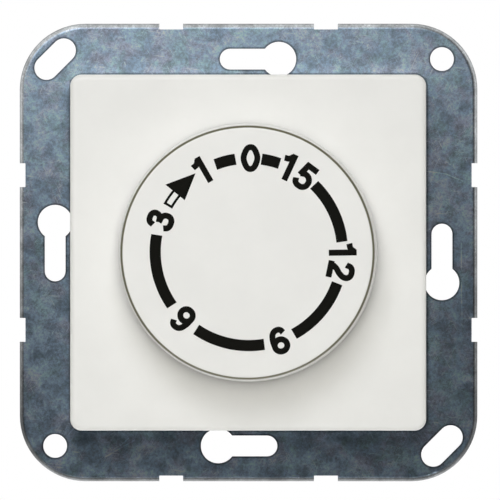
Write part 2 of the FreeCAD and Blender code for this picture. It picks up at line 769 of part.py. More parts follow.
def make_knob():
    """Round moulded knob: a deep cap with a hub, six ribs and a D-shaped bore."""
    nose = s.knob_base - s.knob_taper
    wall_outside = [(nose, knob_face_at), (s.knob_base, knob_base_at)]
    wall_inside_points = [
        (s.knob_base - s.knob_wall, knob_base_at),
        (nose - s.knob_wall, knob_inside),
        (s.hub_radius, knob_inside),
        (s.hub_radius, hub_end),
        (Size(0), hub_end),
    ]
    knob = turned("knob", [(Size(0), knob_face_at)] + wall_outside + wall_inside_points)
    round_edges(knob, "knob_rounding", s.knob_edge, lambda edge: lies_at(edge, knob_face_at))
    spoke = pad(knob, "knob_rib", knob_inside, knob_inside + s.rib_depth,
                lambda d: rectangle(d, (s.hub_radius - s.rib_thick, nose - s.knob_wall / 2),
                                    middle(Size(0), s.rib_thick)))
    around_axis(knob, "knob_ribs_round", [spoke], s.knob_ribs)
    clip_seat = s.spindle_flat + s.strip_thick + s.fit_gap * 2
    pocket(knob, "knob_bore", knob_bore_end,
           lambda d: d_outline(d, s.spindle_radius + s.run_gap, clip_seat))


def make_knob_clip():
    """Flat spring between the knob's bore and the spindle's flat."""
    clip = body("knob_clip")
    low = s.spindle_flat + s.fit_gap
    back = hub_end - s.hub_gap
    pad(clip, "clip_blade", knob_bore_end + s.fit_gap, back,
        lambda d: rectangle(d, middle(Size(0), s.spindle_flat), (low, low + s.strip_thick)))


def insert_outline(name, front, back, shrink=Size(0)):
    """A round bar with four flats, the outline of everything in the wall box."""
    return common(name, [
        cylinder(name + "_round", s.body_radius - shrink, front, back),
        block(name + "_flats", middle(Size(0), (half_width - shrink) * 2), (front, back),
              middle(Size(0), (half_height - shrink) * 2)),
    ])


def make_front_housing():
    """Moulded tray for the clockwork, with the round platform that fills the frame's opening."""
    front, back = frame_back, housing_split
    shell = cut("front_shell", insert_outline("front_outer", front, back),
                [insert_outline("front_inner", wall_inside, back, s.body_wall)])
    platform = cylinder("platform", s.platform_radius, platform_face, front)
    hollow = cylinder("platform_hollow", s.platform_radius - s.platform_wall, platform_inside, wall_inside)
    raised = cut("front_raised", fuse("front_blank", [shell, platform]), [hollow])
    added = [cylinder(f"front_boss_{n}", s.joint_boss, wall_inside, back, x, z)
             for n, (x, z) in enumerate(joint_screws)]
    added += [cylinder(f"plate_pad_{n}", s.pillar_seat, wall_inside, front_plate_at, x, z)
              for n, (x, z) in enumerate(pillars)]
    added += [cylinder(f"cover_post_{n}", s.cover_boss, platform_inside, frame_back, x, z)
              for n, (x, z) in enumerate(cover_screws)]
    holes = [cylinder("bush_hole", bush_radius + s.fit_gap, platform_face, platform_inside)]
    holes += [cylinder(f"front_pilot_{n}", s.screw_radius + s.fit_gap, front, back, x, z)
              for n, (x, z) in enumerate(joint_screws)]
    holes += [cylinder(f"cover_pilot_{n}", s.screw_radius + s.fit_gap, platform_face, frame_back, x, z)
              for n, (x, z) in enumerate(cover_screws)]
    for n, (x, z) in enumerate(pillars):
        holes.append(stack(f"plate_screw_hole_{n}", [
            (s.screw_head + s.head_room, front, movement_screw_seat),
            (s.screw_radius + s.screw_room, front, front_plate_at),
        ], x, z))
    part("front_housing", cut("front_housing", fuse("front_solid", [raised] + added), holes))


def make_rear_housing():
    """Moulded tube behind the clockwork, with screw bosses and holes at the terminals' screws."""
    front, back = housing_split, body_inside_back
    added = [cut("rear_shell", insert_outline("rear_outer", front, back),
                 [insert_outline("rear_inner", front, back, s.body_wall)])]
    added += [cylinder(f"rear_boss_{n}", s.joint_boss, front, back, x, z)
              for n, (x, z) in enumerate(joint_screws)]
    for n, (x, z) in enumerate(terminals):
        face = s.terminal_x + s.terminal_width / 2 + s.fit_gap
        span = (face, inner_half_width) if x.value > 0 else (-inner_half_width, -face)
        toward_middle = -s.body_wall if z.value > 0 else s.body_wall
        added.append(block(f"terminal_rib_{n}", span, (terminal_at, back),
                           middle(z + toward_middle, s.body_wall)))
    holes = [cylinder(f"rear_screw_hole_{n}", s.screw_radius + s.screw_room, front, back, x, z)
             for n, (x, z) in enumerate(joint_screws)]
    for n, (x, z) in enumerate(terminals):
        span = (terminal_top, half_height) if z.value > 0 else (-half_height, -terminal_top)
        holes.append(upright(f"clamp_hole_{n}", s.clamp_head + s.clamp_access, *span, x, clamp_at))
    part("rear_housing", cut("rear_housing", fuse("rear_solid", added), holes))


def make_back_cover():
    """Moulded cover that closes the housing, with seats for the terminals and entries for the wires."""
    front, back = body_inside_back, body_back
    added = [insert_outline("back_plate", front, back)]
    added += [block(f"terminal_seat_{n}", middle(x, s.terminal_width), (terminal_back, front),
                    middle(z, s.terminal_height)) for n, (x, z) in enumerate(terminals)]
    holes = []
    for n, (x, z) in enumerate(terminals):
        holes.append(cylinder(f"wire_hole_{n}", s.wire_entry, terminal_back, back, x, z))
        holes.append(funnel(f"wire_funnel_{n}", s.wire_entry, s.wire_funnel,
                            back - (s.wire_funnel - s.wire_entry), back, x, z))
    for n, (x, z) in enumerate(joint_screws):
        holes.append(stack(f"back_screw_hole_{n}", [
            (s.screw_radius + s.screw_room, front, back),
            (s.screw_head + s.head_room, housing_screw_seat, back),
        ], x, z))
    part("back_cover", cut("back_cover", fuse("back_solid", added), holes))


def make_screws():
    head = s.head_height
    sunk_screws("frame_screws", joint_screws, frame_front, frame_back + s.thread_bite)
    screws("housing_screws", joint_screws, (s.screw_head, housing_screw_seat, housing_screw_seat + head),
           (s.screw_radius, housing_split - s.thread_bite, housing_screw_seat))
    screws("cover_screws", cover_screws, (s.screw_head, cover_screw_seat - head, cover_screw_seat),
           (s.screw_radius, cover_screw_seat, platform_face + s.thread_bite))
    screws("movement_screws", pillars, (s.screw_head, movement_screw_seat - head, movement_screw_seat),
           (s.screw_radius, movement_screw_seat, front_plate_back + s.thread_bite))
    screws("pillar_screws", pillars, (s.screw_head, insulator_back, insulator_back + head),
           (s.screw_radius, rear_plate_at - s.thread_bite, insulator_back))


def make_plates():
    """The two brass movement plates and the insulating plate behind them."""
    pivots = [second_at, third_at, escape_at, anchor_at]

    def plate(label, front, back, more_holes):
        outline = common(label + "_outline", [
            cylinder(label + "_round", plate_radius, front, back),
            block(label + "_flats", middle(Size(0), plate_half_width * 2), (front, back),
                  middle(Size(0), plate_half_height * 2)),
        ])
        holes = [(s.screw_radius + s.run_gap, x, z) for x, z in pillars] + more_holes
        part(label, cut(label, outline, [cylinder(f"{label}_hole_{n}", radius, front, back, x, z)
                                         for n, (radius, x, z) in enumerate(holes)]))

    pivot_holes = [(s.pivot_radius + s.run_gap, x, z) for x, z in pivots]
    bush_hole = (bush_radius + s.fit_gap, Size(0), Size(0))
    spring_hole = (s.pivot_radius + s.fit_gap, *spring_post_at)
    plate("front_movement_plate", front_plate_at, front_plate_back, pivot_holes + [bush_hole, spring_hole])
    spindle_hole = (s.spindle_radius + s.run_gap, Size(0), Size(0))
    stop_hole = (s.stop_post_radius + s.fit_gap, Size(0), s.stop_place)
    plate("rear_movement_plate", rear_plate_at, rear_plate_back, pivot_holes + [spindle_hole, stop_hole])
    free_hole = (bush_radius, Size(0), Size(0))
    plate("insulating_plate", rear_plate_back, insulator_back, [free_hole, stop_hole])


def make_pillars():
    bore = s.screw_radius + s.fit_gap
    depth = s.thread_bite + s.thread_room
    members = []
    for n, (x, z) in enumerate(pillars):
        bar = cylinder(f"pillar_bar_{n}", s.pillar_radius, front_plate_back, rear_plate_at, x, z)
        front_hole = cylinder(f"pillar_front_hole_{n}", bore, front_plate_back, front_plate_back + depth,
                              x, z)
        rear_hole = cylinder(f"pillar_rear_hole_{n}", bore, rear_plate_at - depth, rear_plate_at, x, z)
        members.append(cut(f"pillar_{n}", bar, [front_hole, rear_hole]))
    group("movement_pillars", members)


def make_spindle():
    """The spindle, its bush in front, the hub of the mainspring and the circlip at the back."""
    r = s.spindle_radius
    front = knob_bore_end + s.fit_gap
    chamfer = s.spindle_chamfer
    clip_groove = cam_back + s.fit_gap
    groove_end = clip_groove + s.strip_thick
    back = groove_end + s.strip_thick * 2
    spindle = turned("spindle", [
        (Size(0), front), (r - chamfer, front), (r, front + chamfer), (r, clip_groove),
        (r - s.strip_thick, clip_groove), (r - s.strip_thick, groove_end), (r, groove_end),
        (r, back - chamfer), (r - chamfer, back), (Size(0), back),
    ])

    def flat(d):
        rectangle(d, middle(Size(0), r * 2), (s.spindle_flat, r * 2))

    pocket(spindle, "front_flat", front - s.fit_gap, flat, hub_end + s.hub_gap / 2 - front)
    pocket(spindle, "rear_flat", insulator_back, flat)

    bore = r + s.run_gap
    turned("spindle_bush", [
        (bore, bush_end), (bush_radius, bush_end), (bush_radius, wall_inside),
        (s.bush_flange, wall_inside), (s.bush_flange, front_plate_at),
        (bush_radius, front_plate_at), (bush_radius, front_plate_back), (bore, front_plate_back),
    ])
    hole = r + s.fit_gap
    hub_front, hub_back = front_plate_back + s.end_shake, spring_back + s.end_shake
    turned("spring_hub", [(hole, hub_front), (spring_hub_radius, hub_front),
                          (spring_hub_radius, hub_back), (hole, hub_back)])

    ring = cut("circlip_ring", cylinder("circlip_outer", r + s.strip_thick * 2, clip_groove + s.fit_gap,
                                        groove_end - s.fit_gap),
               [cylinder("circlip_inner", r - s.strip_thick + s.fit_gap, clip_groove, groove_end),
                block("circlip_mouth", middle(Size(0), r * 1.4), (clip_groove, groove_end),
                      (Size(0), r * 2))])
    part("spindle_circlip", ring)


def polar(radius, angle, y):
    """A point at a radius and an angle in degrees, measured from +X towards +Z."""
    return Vector(radius * math.cos(math.radians(angle)), y, radius * math.sin(math.radians(angle)))


def solid_of(label, edges, thickness, holes):
    """A flat piece of sheet: an outline at y = 0 with holes, thickened along +Y."""
    face = Part.Face([Part.Wire(edges)] + holes)
    if not face.isValid():
        face.fix(1e-7, 1e-7, 1e-7)
    owner = doc.addObject("Part::Feature", label)
    owner.Shape = face.extrude(Vector(0, float(thickness), 0))
    return part(label, owner)


def put(owner, x, depth, z):
    """Place a sheet piece on its arbor."""
    bind(owner, "Placement.Base.x", x)
    bind(owner, "Placement.Base.y", depth)
    bind(owner, "Placement.Base.z", z)


def ring_wire(radius, x=0, z=0):
    """A round hole in a sheet piece. It runs against the outline."""
    return Part.Wire([Part.Circle(Vector(x, 0, z), Vector(0, 1, 0), radius).toShape()])


def tooth_edges(count, module, phase, width, tip_width, addendum, dedendum):
    """Clock teeth: radial flanks up to the pitch circle and rounded tips above it.

    The shape is one of the two at the top.
    """
    pitch_radius = module * count / 2
    low = pitch_radius - dedendum * module
    high = pitch_radius + addendum * module
    half = width * 180 / count
    tip_half = tip_width * 180 / count
    shoulder = pitch_radius + addendum * module * SHOULDER_HEIGHT
    shoulder_half = half * SHOULDER_WIDTH + tip_half * (1 - SHOULDER_WIDTH)
    edges = []
    for n in range(count):
        centre = phase + n * 360 / count
        after = centre + 360 / count
        outline = [
            (low, centre - half), (pitch_radius, centre - half), (shoulder, centre - shoulder_half),
            (high, centre - tip_half), (high, centre + tip_half), (shoulder, centre + shoulder_half),
            (pitch_radius, centre + half), (low, centre + half), (low, after - half),
        ]
        points = [polar(radius, angle, 0) for radius, angle in outline]
        edges += [Part.LineSegment(p, q).toShape() for p, q in zip(points, points[1:])]
    return edges


def crossing_windows(hub, rim, count, spoke, phase):
    """The openings between a wheel's spokes, as outlines."""
    windows = []
    for n in range(count):
        start = phase + n * 360 / count
        end = start + 360 / count
        inner = math.degrees(math.asin(spoke / 2 / hub))
        outer = math.degrees(math.asin(spoke / 2 / rim))
        middle_angle = (start + end) / 2
        edges = [
            Part.LineSegment(polar(hub, start + inner, 0), polar(rim, start + outer, 0)).toShape(),
            Part.Arc(polar(rim, start + outer, 0), polar(rim, middle_angle, 0),
                     polar(rim, end - outer, 0)).toShape(),
            Part.LineSegment(polar(rim, end - outer, 0), polar(hub, end - inner, 0)).toShape(),
            Part.Arc(polar(hub, end - inner, 0), polar(hub, middle_angle, 0),
                     polar(hub, start + inner, 0)).toShape(),
        ]
        windows.append(Part.Wire(edges))
    return windows


def gear_wheel(label, teeth, module, phase, place, depth, thickness, bore, hub, spoke, spoke_phase, extra=()):
    """A toothed wheel with four crossings."""
    teeth, module = int(teeth.value), module.value
    rim = module * (teeth / 2 - WHEEL_TOOTH["dedendum"]) - s.arbor_radius.value
    edges = tooth_edges(teeth, module, phase, **WHEEL_TOOTH)
    holes = [ring_wire(bore.value)] + crossing_windows(hub.value, rim, 4, spoke.value, spoke_phase)
    holes += [ring_wire(radius, x, z) for radius, x, z in extra]
    put(solid_of(label, edges, thickness, holes), place[0], depth, place[1])


def pinion(label, leaves, module, phase, place, front, back):
    """An arbor with its leaves cut on it, turned down to a pivot at each end."""
    edges = tooth_edges(int(leaves.value), module.value, phase, **PINION_LEAF)
    leaf_face = Part.Face(Part.Wire(edges))
    teeth = leaf_face.extrude(Vector(0, (back - front).value, 0))
    teeth.translate(Vector(0, front.value, 0))
    return arbor(label, place, [teeth])


def arbor(label, place, extra=()):
    """A steel arbor between the plates."""
    pivot_front = front_plate_at + s.stop_gap
    pivot_back = rear_plate_back - s.stop_gap
    shoulder_front = front_plate_back + s.end_shake
    shoulder_back = rear_plate_at - s.end_shake
    bars = []
    for radius, start, end in ((s.pivot_radius, pivot_front, pivot_back),
                               (s.arbor_radius, shoulder_front, shoulder_back)):
        bars.append(Part.makeCylinder(radius.value, (end - start).value, Vector(0, start.value, 0),
                                      Vector(0, 1, 0)))
    owner = doc.addObject("Part::Feature", label)
    owner.Shape = bars[0].multiFuse(bars[1:] + list(extra)).removeSplitter()
    put(owner, place[0], 0, place[1])
    return part(label, owner)


def mesh_phase(turn, leaves):
    """The direction of a pinion's first leaf, so that a gap faces the tooth of the wheel that drives it."""
    return turn.value + 180 + 180 / leaves.value


def make_train():
    """Main wheel, second, third and escape wheels, each in mesh with the next pinion at rest."""
    fit = s.arbor_radius + s.fit_gap
    stud = s.pivot_radius.value + s.fit_gap.value
    gear_wheel("main_wheel", s.main_teeth, s.main_module, s.second_turn.value, (Size(0), Size(0)),
               main_wheel_at, s.main_wheel_thick, s.spindle_radius + s.run_gap, s.ratchet_radius,
               s.main_spoke, 0, [(stud, x.value, z.value) for x, z in click_stud_places])
    train = [
        ("second", s.second_leaves, s.main_module, s.second_turn, second_at, main_wheel_at,
         s.main_wheel_thick),
        ("third", s.third_leaves, s.second_module, s.third_turn, third_at, second_wheel_at,
         s.train_wheel_thick),
        ("escape", s.escape_leaves, s.third_module, s.escape_turn, escape_at, third_wheel_at,
         s.train_wheel_thick),
    ]
    for word, leaves, module, turn, place, wheel_at, wheel_thick in train:
        pinion(f"{word}_pinion", leaves, module, mesh_phase(turn, leaves), place,
               wheel_at - s.leaf_overlap, wheel_at + wheel_thick + s.leaf_overlap)
    gear_wheel("second_wheel", s.second_teeth, s.second_module, s.third_turn.value, second_at,
               second_wheel_at, s.train_wheel_thick, fit, s.train_hub, s.train_spoke, 0)
    gear_wheel("third_wheel", s.third_teeth, s.third_module, s.escape_turn.value, third_at,
               third_wheel_at, s.train_wheel_thick, fit, s.train_hub, s.train_spoke, 45)


def make_escapement():
    """Escape wheel with saw teeth, and the anchor that rocks over it."""
    count = int(s.escape_teeth.value)
    step = 360 / count
    tip = s.escape_radius.value
    low = tip - s.escape_tooth.value
    tip_lag = step * 0.27  # the first tooth stands this far past the lower pallet
    land = 1.5  # angle across a tooth's tip
    back_slope = step * 0.6  # angle from a tooth's steep face to the foot of its back
    first = s.anchor_turn.value - pallet_half_angle.value + tip_lag
    edges = []
    for n in range(count):
        a = first + n * step
        points = [polar(low, a, 0), polar(tip, a, 0), polar(tip, a + land, 0), polar(low, a + back_slope, 0),
                  polar(low, a + step, 0)]
        edges += [Part.LineSegment(p, q).toShape() for p, q in zip(points, points[1:])]
    fit = s.arbor_radius.value + s.fit_gap.value
    hole_place = (fit + low) / 2
    holes = [ring_wire(fit)]
    for n in range(4):
        centre = polar(hole_place, n * 90, 0)
        holes.append(ring_wire((low - fit) / 4, centre.x, centre.z))
    put(solid_of("escape_wheel", edges, s.train_wheel_thick, holes), escape_at[0], escape_wheel_at,
        escape_at[1])

    # The anchor is drawn about its own arbor, with the wheel on the side turn + 180.
    reach = anchor_centres.value
    clear = tip + s.pallet_gap.value
    half = pallet_half_angle.value
    turn = s.anchor_turn.value
    wheel_centre = polar(reach, turn + 180, 0)

    def over_wheel(radius, angle):
        return wheel_centre + polar(radius, turn + angle, 0)

    thick = math.degrees(s.pallet_thick.value / tip)
    arm_top = clear + s.anchor_arm.value
    arm_foot = arm_top - s.spring_strip.value
    hub = s.anchor_hub.value
    weight = s.anchor_weight.value

    def arm(side):
        """One arm, from the inside of its pallet round its weight to the front of the hub."""
        return [
            over_wheel(arm_foot, side * (half - thick * 1.2)), over_wheel(clear, side * (half - thick / 2)),
            over_wheel(clear, side * (half + thick / 2)), over_wheel(arm_top, side * (half + thick * 2.2)),
            polar(hub, turn + side * 108, 0), polar(hub * 1.2, turn + side * 62, 0),
            polar(weight, turn + side * 38, 0), polar(weight, turn + side * 24, 0),
            polar(hub, turn + side * 14, 0),
        ]

    belly = [polar(hub, turn - 160, 0), polar(hub, turn + 160, 0)]
    outline = arm(1) + list(reversed(arm(-1))) + belly
    edges = [Part.LineSegment(p, q).toShape() for p, q in zip(outline, outline[1:] + outline[:1])]
    anchor = solid_of("pallet_anchor", edges, s.main_wheel_thick, [ring_wire(fit)])
    overhang = (s.main_wheel_thick - s.train_wheel_thick) / 2
    put(anchor, anchor_at[0], escape_wheel_at - overhang, anchor_at[1])
    arbor("anchor_arbor", anchor_at)


# The click turns on one stud of the main wheel, and its spring leans on the other.
click_place = s.ratchet_radius + s.click_room
click_stud_places = [(click_place, Size(0)), (Size(0), s.arbor_radius - click_place)]

# The mainspring's outer end lies where its last half turn ends, and the post stands just outside it.
spring_first = spring_hub_radius + s.spring_hub_gap
spring_outer = spring_first + s.spring_pitch * (s.spring_half_turns - 1) / 2
spring_post_reach = spring_outer + s.spring_strip + s.arbor_radius + s.run_gap
spring_post_at = (spring_post_reach * cosine(Size(45.0)), spring_post_reach * sine(Size(45.0)))


def make_mainspring():
    """A flat spiral of half circles, each a little larger than the one inside it."""
    start_angle = 45 + 180 * int(s.spring_half_turns.value)
    step = s.spring_pitch.value / 2
    thick = s.spring_strip.value
    inner_side, outer_side = [], []
    centre = Vector(0, 0, 0)
    radius = spring_first.value
    for n in range(int(s.spring_half_turns.value)):
        angle = start_angle - 180 * n
        for side, r in ((inner_side, radius), (outer_side, radius + thick)):
            side.append(Part.Arc(centre + polar(r, angle, 0), centre + polar(r, angle - 90, 0),
                                 centre + polar(r, angle - 180, 0)).toShape())
        centre = centre + polar(step, angle, 0)
        radius += step
    ends = [
        Part.LineSegment(inner_side[-1].Vertexes[-1].Point, outer_side[-1].Vertexes[-1].Point).toShape(),
        Part.LineSegment(outer_side[0].Vertexes[0].Point, inner_side[0].Vertexes[0].Point).toShape(),
    ]
    wire = Part.Wire(Part.sortEdges(inner_side + outer_side + ends)[0])
    owner = doc.addObject("Part::Feature", "mainspring")
    owner.Shape = Part.Face(wire).extrude(Vector(0, (spring_back - spring_at).value, 0))
    put(owner, 0, spring_at, 0)
    part("mainspring", owner)
    post = stack("spring_post", [
        (s.pivot_radius, front_plate_at, front_plate_back),
        (s.arbor_radius, front_plate_back, spring_back + s.end_shake),
    ], *spring_post_at)
    part("spring_post", post)


def make_ratchet():
    """Ratchet wheel on the spindle, with a click and its spring on the main wheel."""
    count = int(s.ratchet_teeth.value)
    step = 360 / count
    tip = s.ratchet_radius.value
    low = tip - s.ratchet_tooth.value
    thick = s.main_wheel_thick
    edges = []
    for n in range(count):
        a = s.click_angle.value + n * step
        points = [polar(low, a, 0), polar(tip, a, 0), polar(low, a - step, 0)]
        edges += [Part.LineSegment(p, q).toShape() for p, q in zip(points, points[1:])]
    outline = Part.sortEdges(edges)[0]
    put(solid_of("ratchet_wheel", outline, thick, [ring_wire(s.spindle_radius.value + s.fit_gap.value)]),
        0, ratchet_at, 0)

    # The click: a hub on its stud, a flat along the wheel's slope and a nose behind a steep face.
    stud = Vector(click_place.value, 0, 0)
    hub = s.click_hub.value
    nose = s.click_angle.value + s.click_slack.value
    high, behind, outside = stud + polar(hub, 130, 0), stud + polar(hub, 40, 0), stud + polar(hub, -50, 0)
    nose_seat = low + 0.15
    nose_top = tip + 0.5
    tail = tip + 0.2
    ends = [outside, polar(nose_top, nose, 0), polar(nose_seat, nose, 0),
            polar(tail, nose + step * 0.75, 0), high]
    edges = [Part.LineSegment(p, q).toShape() for p, q in zip(ends, ends[1:])]
    edges.append(Part.Arc(high, behind, outside).toShape())
    stud_hole = ring_wire(s.pivot_radius.value + s.run_gap.value, stud.x, 0)
    put(solid_of("ratchet_click", edges, thick, [stud_hole]), 0, ratchet_at, 0)

    # The click's spring is a bent strip from its own stud to the back of the click.
    stud_end, middle_bend, click_end = (tip + 2.25, -98), (tip + 2.05, -60), (tip + 1.05, -27)
    strip = s.spring_strip.value
    inner_side = [polar(radius, angle, 0) for radius, angle in (stud_end, middle_bend, click_end)]
    outer_side = [polar(radius + strip, angle, 0) for radius, angle in (stud_end, middle_bend, click_end)]
    edges = [
        Part.Arc(*inner_side).toShape(),
        Part.LineSegment(inner_side[-1], outer_side[-1]).toShape(),
        Part.Arc(*reversed(outer_side)).toShape(),
        Part.LineSegment(outer_side[0], inner_side[0]).toShape(),
    ]
    put(solid_of("click_spring", edges, thick, []), 0, ratchet_at, 0)
    members = []
    head_back = ratchet_at - s.stop_gap
    for n, (x, z) in enumerate(click_stud_places):
        members.append(stack(f"click_stud_{n}", [
            (s.arbor_radius, head_back - s.slot_depth / 2, head_back),
            (s.pivot_radius, head_back, main_wheel_at + s.main_wheel_thick),
        ], x, z))
    group("click_studs", members)


def make_stop():
    """An arm on the spindle that meets a post at 0 and at full travel."""
    front, back = stop_arm_at, stop_arm_at + s.stop_arm_thick
    part("stop_post", cylinder("stop_post", s.stop_post_radius, rear_plate_at, back, 0, s.stop_place))
    away = (360 - s.knob_travel) / 2
    half_arm = s.stop_place * sine(away) - s.stop_post_radius - s.stop_gap
    arm_end = s.stop_place + s.stop_arm_end
    arm = body("stop_arm")
    pad(arm, "stop_hub", front, back, lambda d: circle(d, s.spindle_radius + s.stop_hub_wall))
    along = (sine(away), cosine(away))
    across = (cosine(away), -sine(away))

    def finger(d):
        def corner(reach, side):
            return (along[0] * reach + across[0] * side, along[1] * reach + across[1] * side)

        start = s.spindle_radius + s.stop_gap
        polygon(d, [corner(start, -half_arm), corner(arm_end, -half_arm),
                    corner(arm_end, half_arm), corner(start, half_arm)])

    pad(arm, "stop_finger", front, back, finger)
    pocket(arm, "stop_bore", front,
           lambda d: d_outline(d, s.spindle_radius + s.fit_gap, s.spindle_flat + s.fit_gap))


def make_switch_cam():
    """Moulded cam with two tracks. At rest each track's notch faces its own contact blade."""
    cam = body("switch_cam")
    root_radius = cam_radius - s.cam_notch
    pad(cam, "cam_core", cam_at, cam_back, lambda d: circle(d, root_radius))
    for name, front, side in (("front_track", cam_at, 1),
                              ("rear_track", cam_back - s.cam_track, -1)):
        pad(cam, name, front, front + s.cam_track, lambda d: circle(d, cam_radius))
        low = root_radius * cosine(s.cam_notch_half)
        reach = cam_radius + s.cam_notch

        def notch(d, side=side):
            tangent = sine(s.cam_notch_half)
            x_low, x_high = low * side, reach * side
            polygon(d, [(x_low, -low * tangent), (x_high, -reach * tangent), (x_high, reach * tangent),
                        (x_low, low * tangent)])

        pocket(cam, name + "_notch", front, notch, s.cam_track)
    pocket(cam, "cam_bore", cam_at,
           lambda d: d_outline(d, s.spindle_radius + s.fit_gap, s.spindle_flat + s.fit_gap))


def make_contacts():
    """Bent contact blades that ride on the cam, and the fixed contacts that they meet."""
    fixed_tips, moving_tips = [], []
    end = s.tip_place + s.tip_radius + s.blade_end
    nose = blade_face - s.blade_nose
    nose_back = nose + s.blade_thick
    half = s.blade_nose_half
    flat = half / 2
    inner_flat = flat - s.stop_gap
    for word, side, front in (("right", 1, cam_at), ("left", -1, cam_back - s.cam_track)):
        near = front + s.blade_side_gap
        far = front + s.cam_track - s.blade_side_gap
        points = [
            (blade_back, terminal_top), (blade_face, terminal_top), (blade_face, half * 2), (nose, flat),
            (nose, -flat), (blade_face, -half * 2), (blade_face, -end), (blade_back, -end),
            (blade_back, -half * 2), (nose_back, -inner_flat), (nose_back, inner_flat),
            (blade_back, half * 2),
        ]
        blade = body(f"{word}_contact_blade")
        pad(blade, f"{word}_blade_strip", near, far,
            lambda d, pts=points, way=side: polygon(d, [(x * way, z) for x, z in pts]))

        def tip(name, start, end):
            bar = doc.addObject("Part::Cylinder", name)
            bind(bar, "Radius", s.tip_radius)
            bind(bar, "Height", end - start)
            bar.Placement = Placement(Vector(), Rotation(Vector(0, 1, 0), 90 * side))
            bind(bar, "Placement.Base.x", start * side)
            bind(bar, "Placement.Base.y", (near + far) / 2)
            bind(bar, "Placement.Base.z", -s.tip_place)
            return bar

        tip_face = blade_back + s.fit_gap + s.tip_thick
        fixed_face = tip_face + s.contact_gap
        strip = fixed_face + s.tip_thick
        moving_tips.append(tip(f"{word}_moving_tip", blade_back + s.fit_gap, tip_face))
        fixed_tips.append(tip(f"{word}_fixed_tip", fixed_face, strip))
        strip_back = strip + s.fit_gap + s.strip_thick
        bottom = s.terminal_height - terminal_top + s.fit_gap
        foot_end = strip_back + s.strip_foot
        high = -s.tip_place + s.tip_radius + s.strip_thick
        outline = [
            (strip + s.fit_gap, bottom), (foot_end, bottom), (foot_end, bottom + s.strip_thick),
            (strip_back, bottom + s.strip_thick), (strip_back, high), (strip + s.fit_gap, high),
        ]
        fixed = body(f"{word}_fixed_contact")
        pad(fixed, f"{word}_fixed_strip", near, far,
            lambda d, pts=outline, way=side: polygon(d, [(x * way, z) for x, z in pts]))
    group("moving_contact_tips", moving_tips)
    group("fixed_contact_tips", fixed_tips)


def make_terminals():
    """Brass terminal blocks. The wire enters from the back, and a screw from the side presses on it."""
    blocks, clamps = [], []

    def outwards(z, inner, outer):
        """A span along Z on the terminal's own side of the middle."""
        return (inner, outer) if z.value > 0 else (-outer, -inner)

    seat = terminal_top + s.stop_gap
    head_top = seat + s.clamp_height
    for n, (x, z) in enumerate(terminals):
        cube = block(f"terminal_cube_{n}", middle(x, s.terminal_width), (terminal_at, terminal_back),
                     middle(z, s.terminal_height))
        bore = cylinder(f"terminal_bore_{n}", s.wire_bore, terminal_back - s.wire_depth, terminal_back, x, z)
        thread = upright(f"terminal_thread_{n}", s.clamp_radius + s.fit_gap,
                         *outwards(z, terminal_z, terminal_top), x, clamp_at)
        blocks.append(cut(f"terminal_block_{n}", cube, [bore, thread]))
        solid = fuse(f"clamp_solid_{n}", [
            upright(f"clamp_shank_{n}", s.clamp_radius,
                    *outwards(z, terminal_z + s.wire_bore + s.stop_gap, seat), x, clamp_at),
            upright(f"clamp_top_{n}", s.clamp_head, *outwards(z, seat, head_top), x, clamp_at),
        ])
        groove = block(f"clamp_slot_{n}", middle(x, s.clamp_head * 2), middle(clamp_at, s.clamp_slot),
                       outwards(z, head_top - s.slot_depth, head_top))
        clamps.append(cut(f"terminal_screw_{n}", solid, [groove]))
    group("terminal_blocks", blocks)
    group("terminal_screws", clamps)


make_support_frame()
make_cover_plate()
make_knob()
make_knob_clip()
make_front_housing()
make_rear_housing()
make_back_cover()
make_screws()
make_plates()
make_pillars()
make_spindle()
make_train()
make_escapement()
make_mainspring()
make_ratchet()
make_stop()
make_switch_cam()
make_contacts()
make_terminals()
doc.recompute()

failed = [o.Name for o in doc.Objects if {"Invalid", "Error"} & set(o.State)]
if failed:
    raise RuntimeError(f"failed objects: {failed}")
for piece in PARTS:
    if piece.Shape.isNull() or not piece.Shape.isValid() or not piece.Shape.Solids:
        raise RuntimeError(f"{piece.Label} has no valid solid")

os.makedirs("parts", exist_ok=True)
for piece in PARTS:
    piece.Shape.exportStep(f"parts/{piece.Label}.step")
print(f"{len(PARTS)} pieces written")
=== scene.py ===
"""The looks of a flush-mounted clockwork timer switch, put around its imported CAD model.

Lengths are metres in the object's own frame: +X is right, +Z is up and the knob faces -Y. The
origin lies on the knob's axis, in the plane of the wall. Sizes of printed or surface detail are
given in millimetres and multiplied by MM.
"""

from __future__ import annotations

import json
import logging
import math
from dataclasses import dataclass, field, replace
from enum import Enum
from typing import Any, Iterable, Protocol, Sequence

import bmesh
import bpy
from mathutils import Matrix, Vector

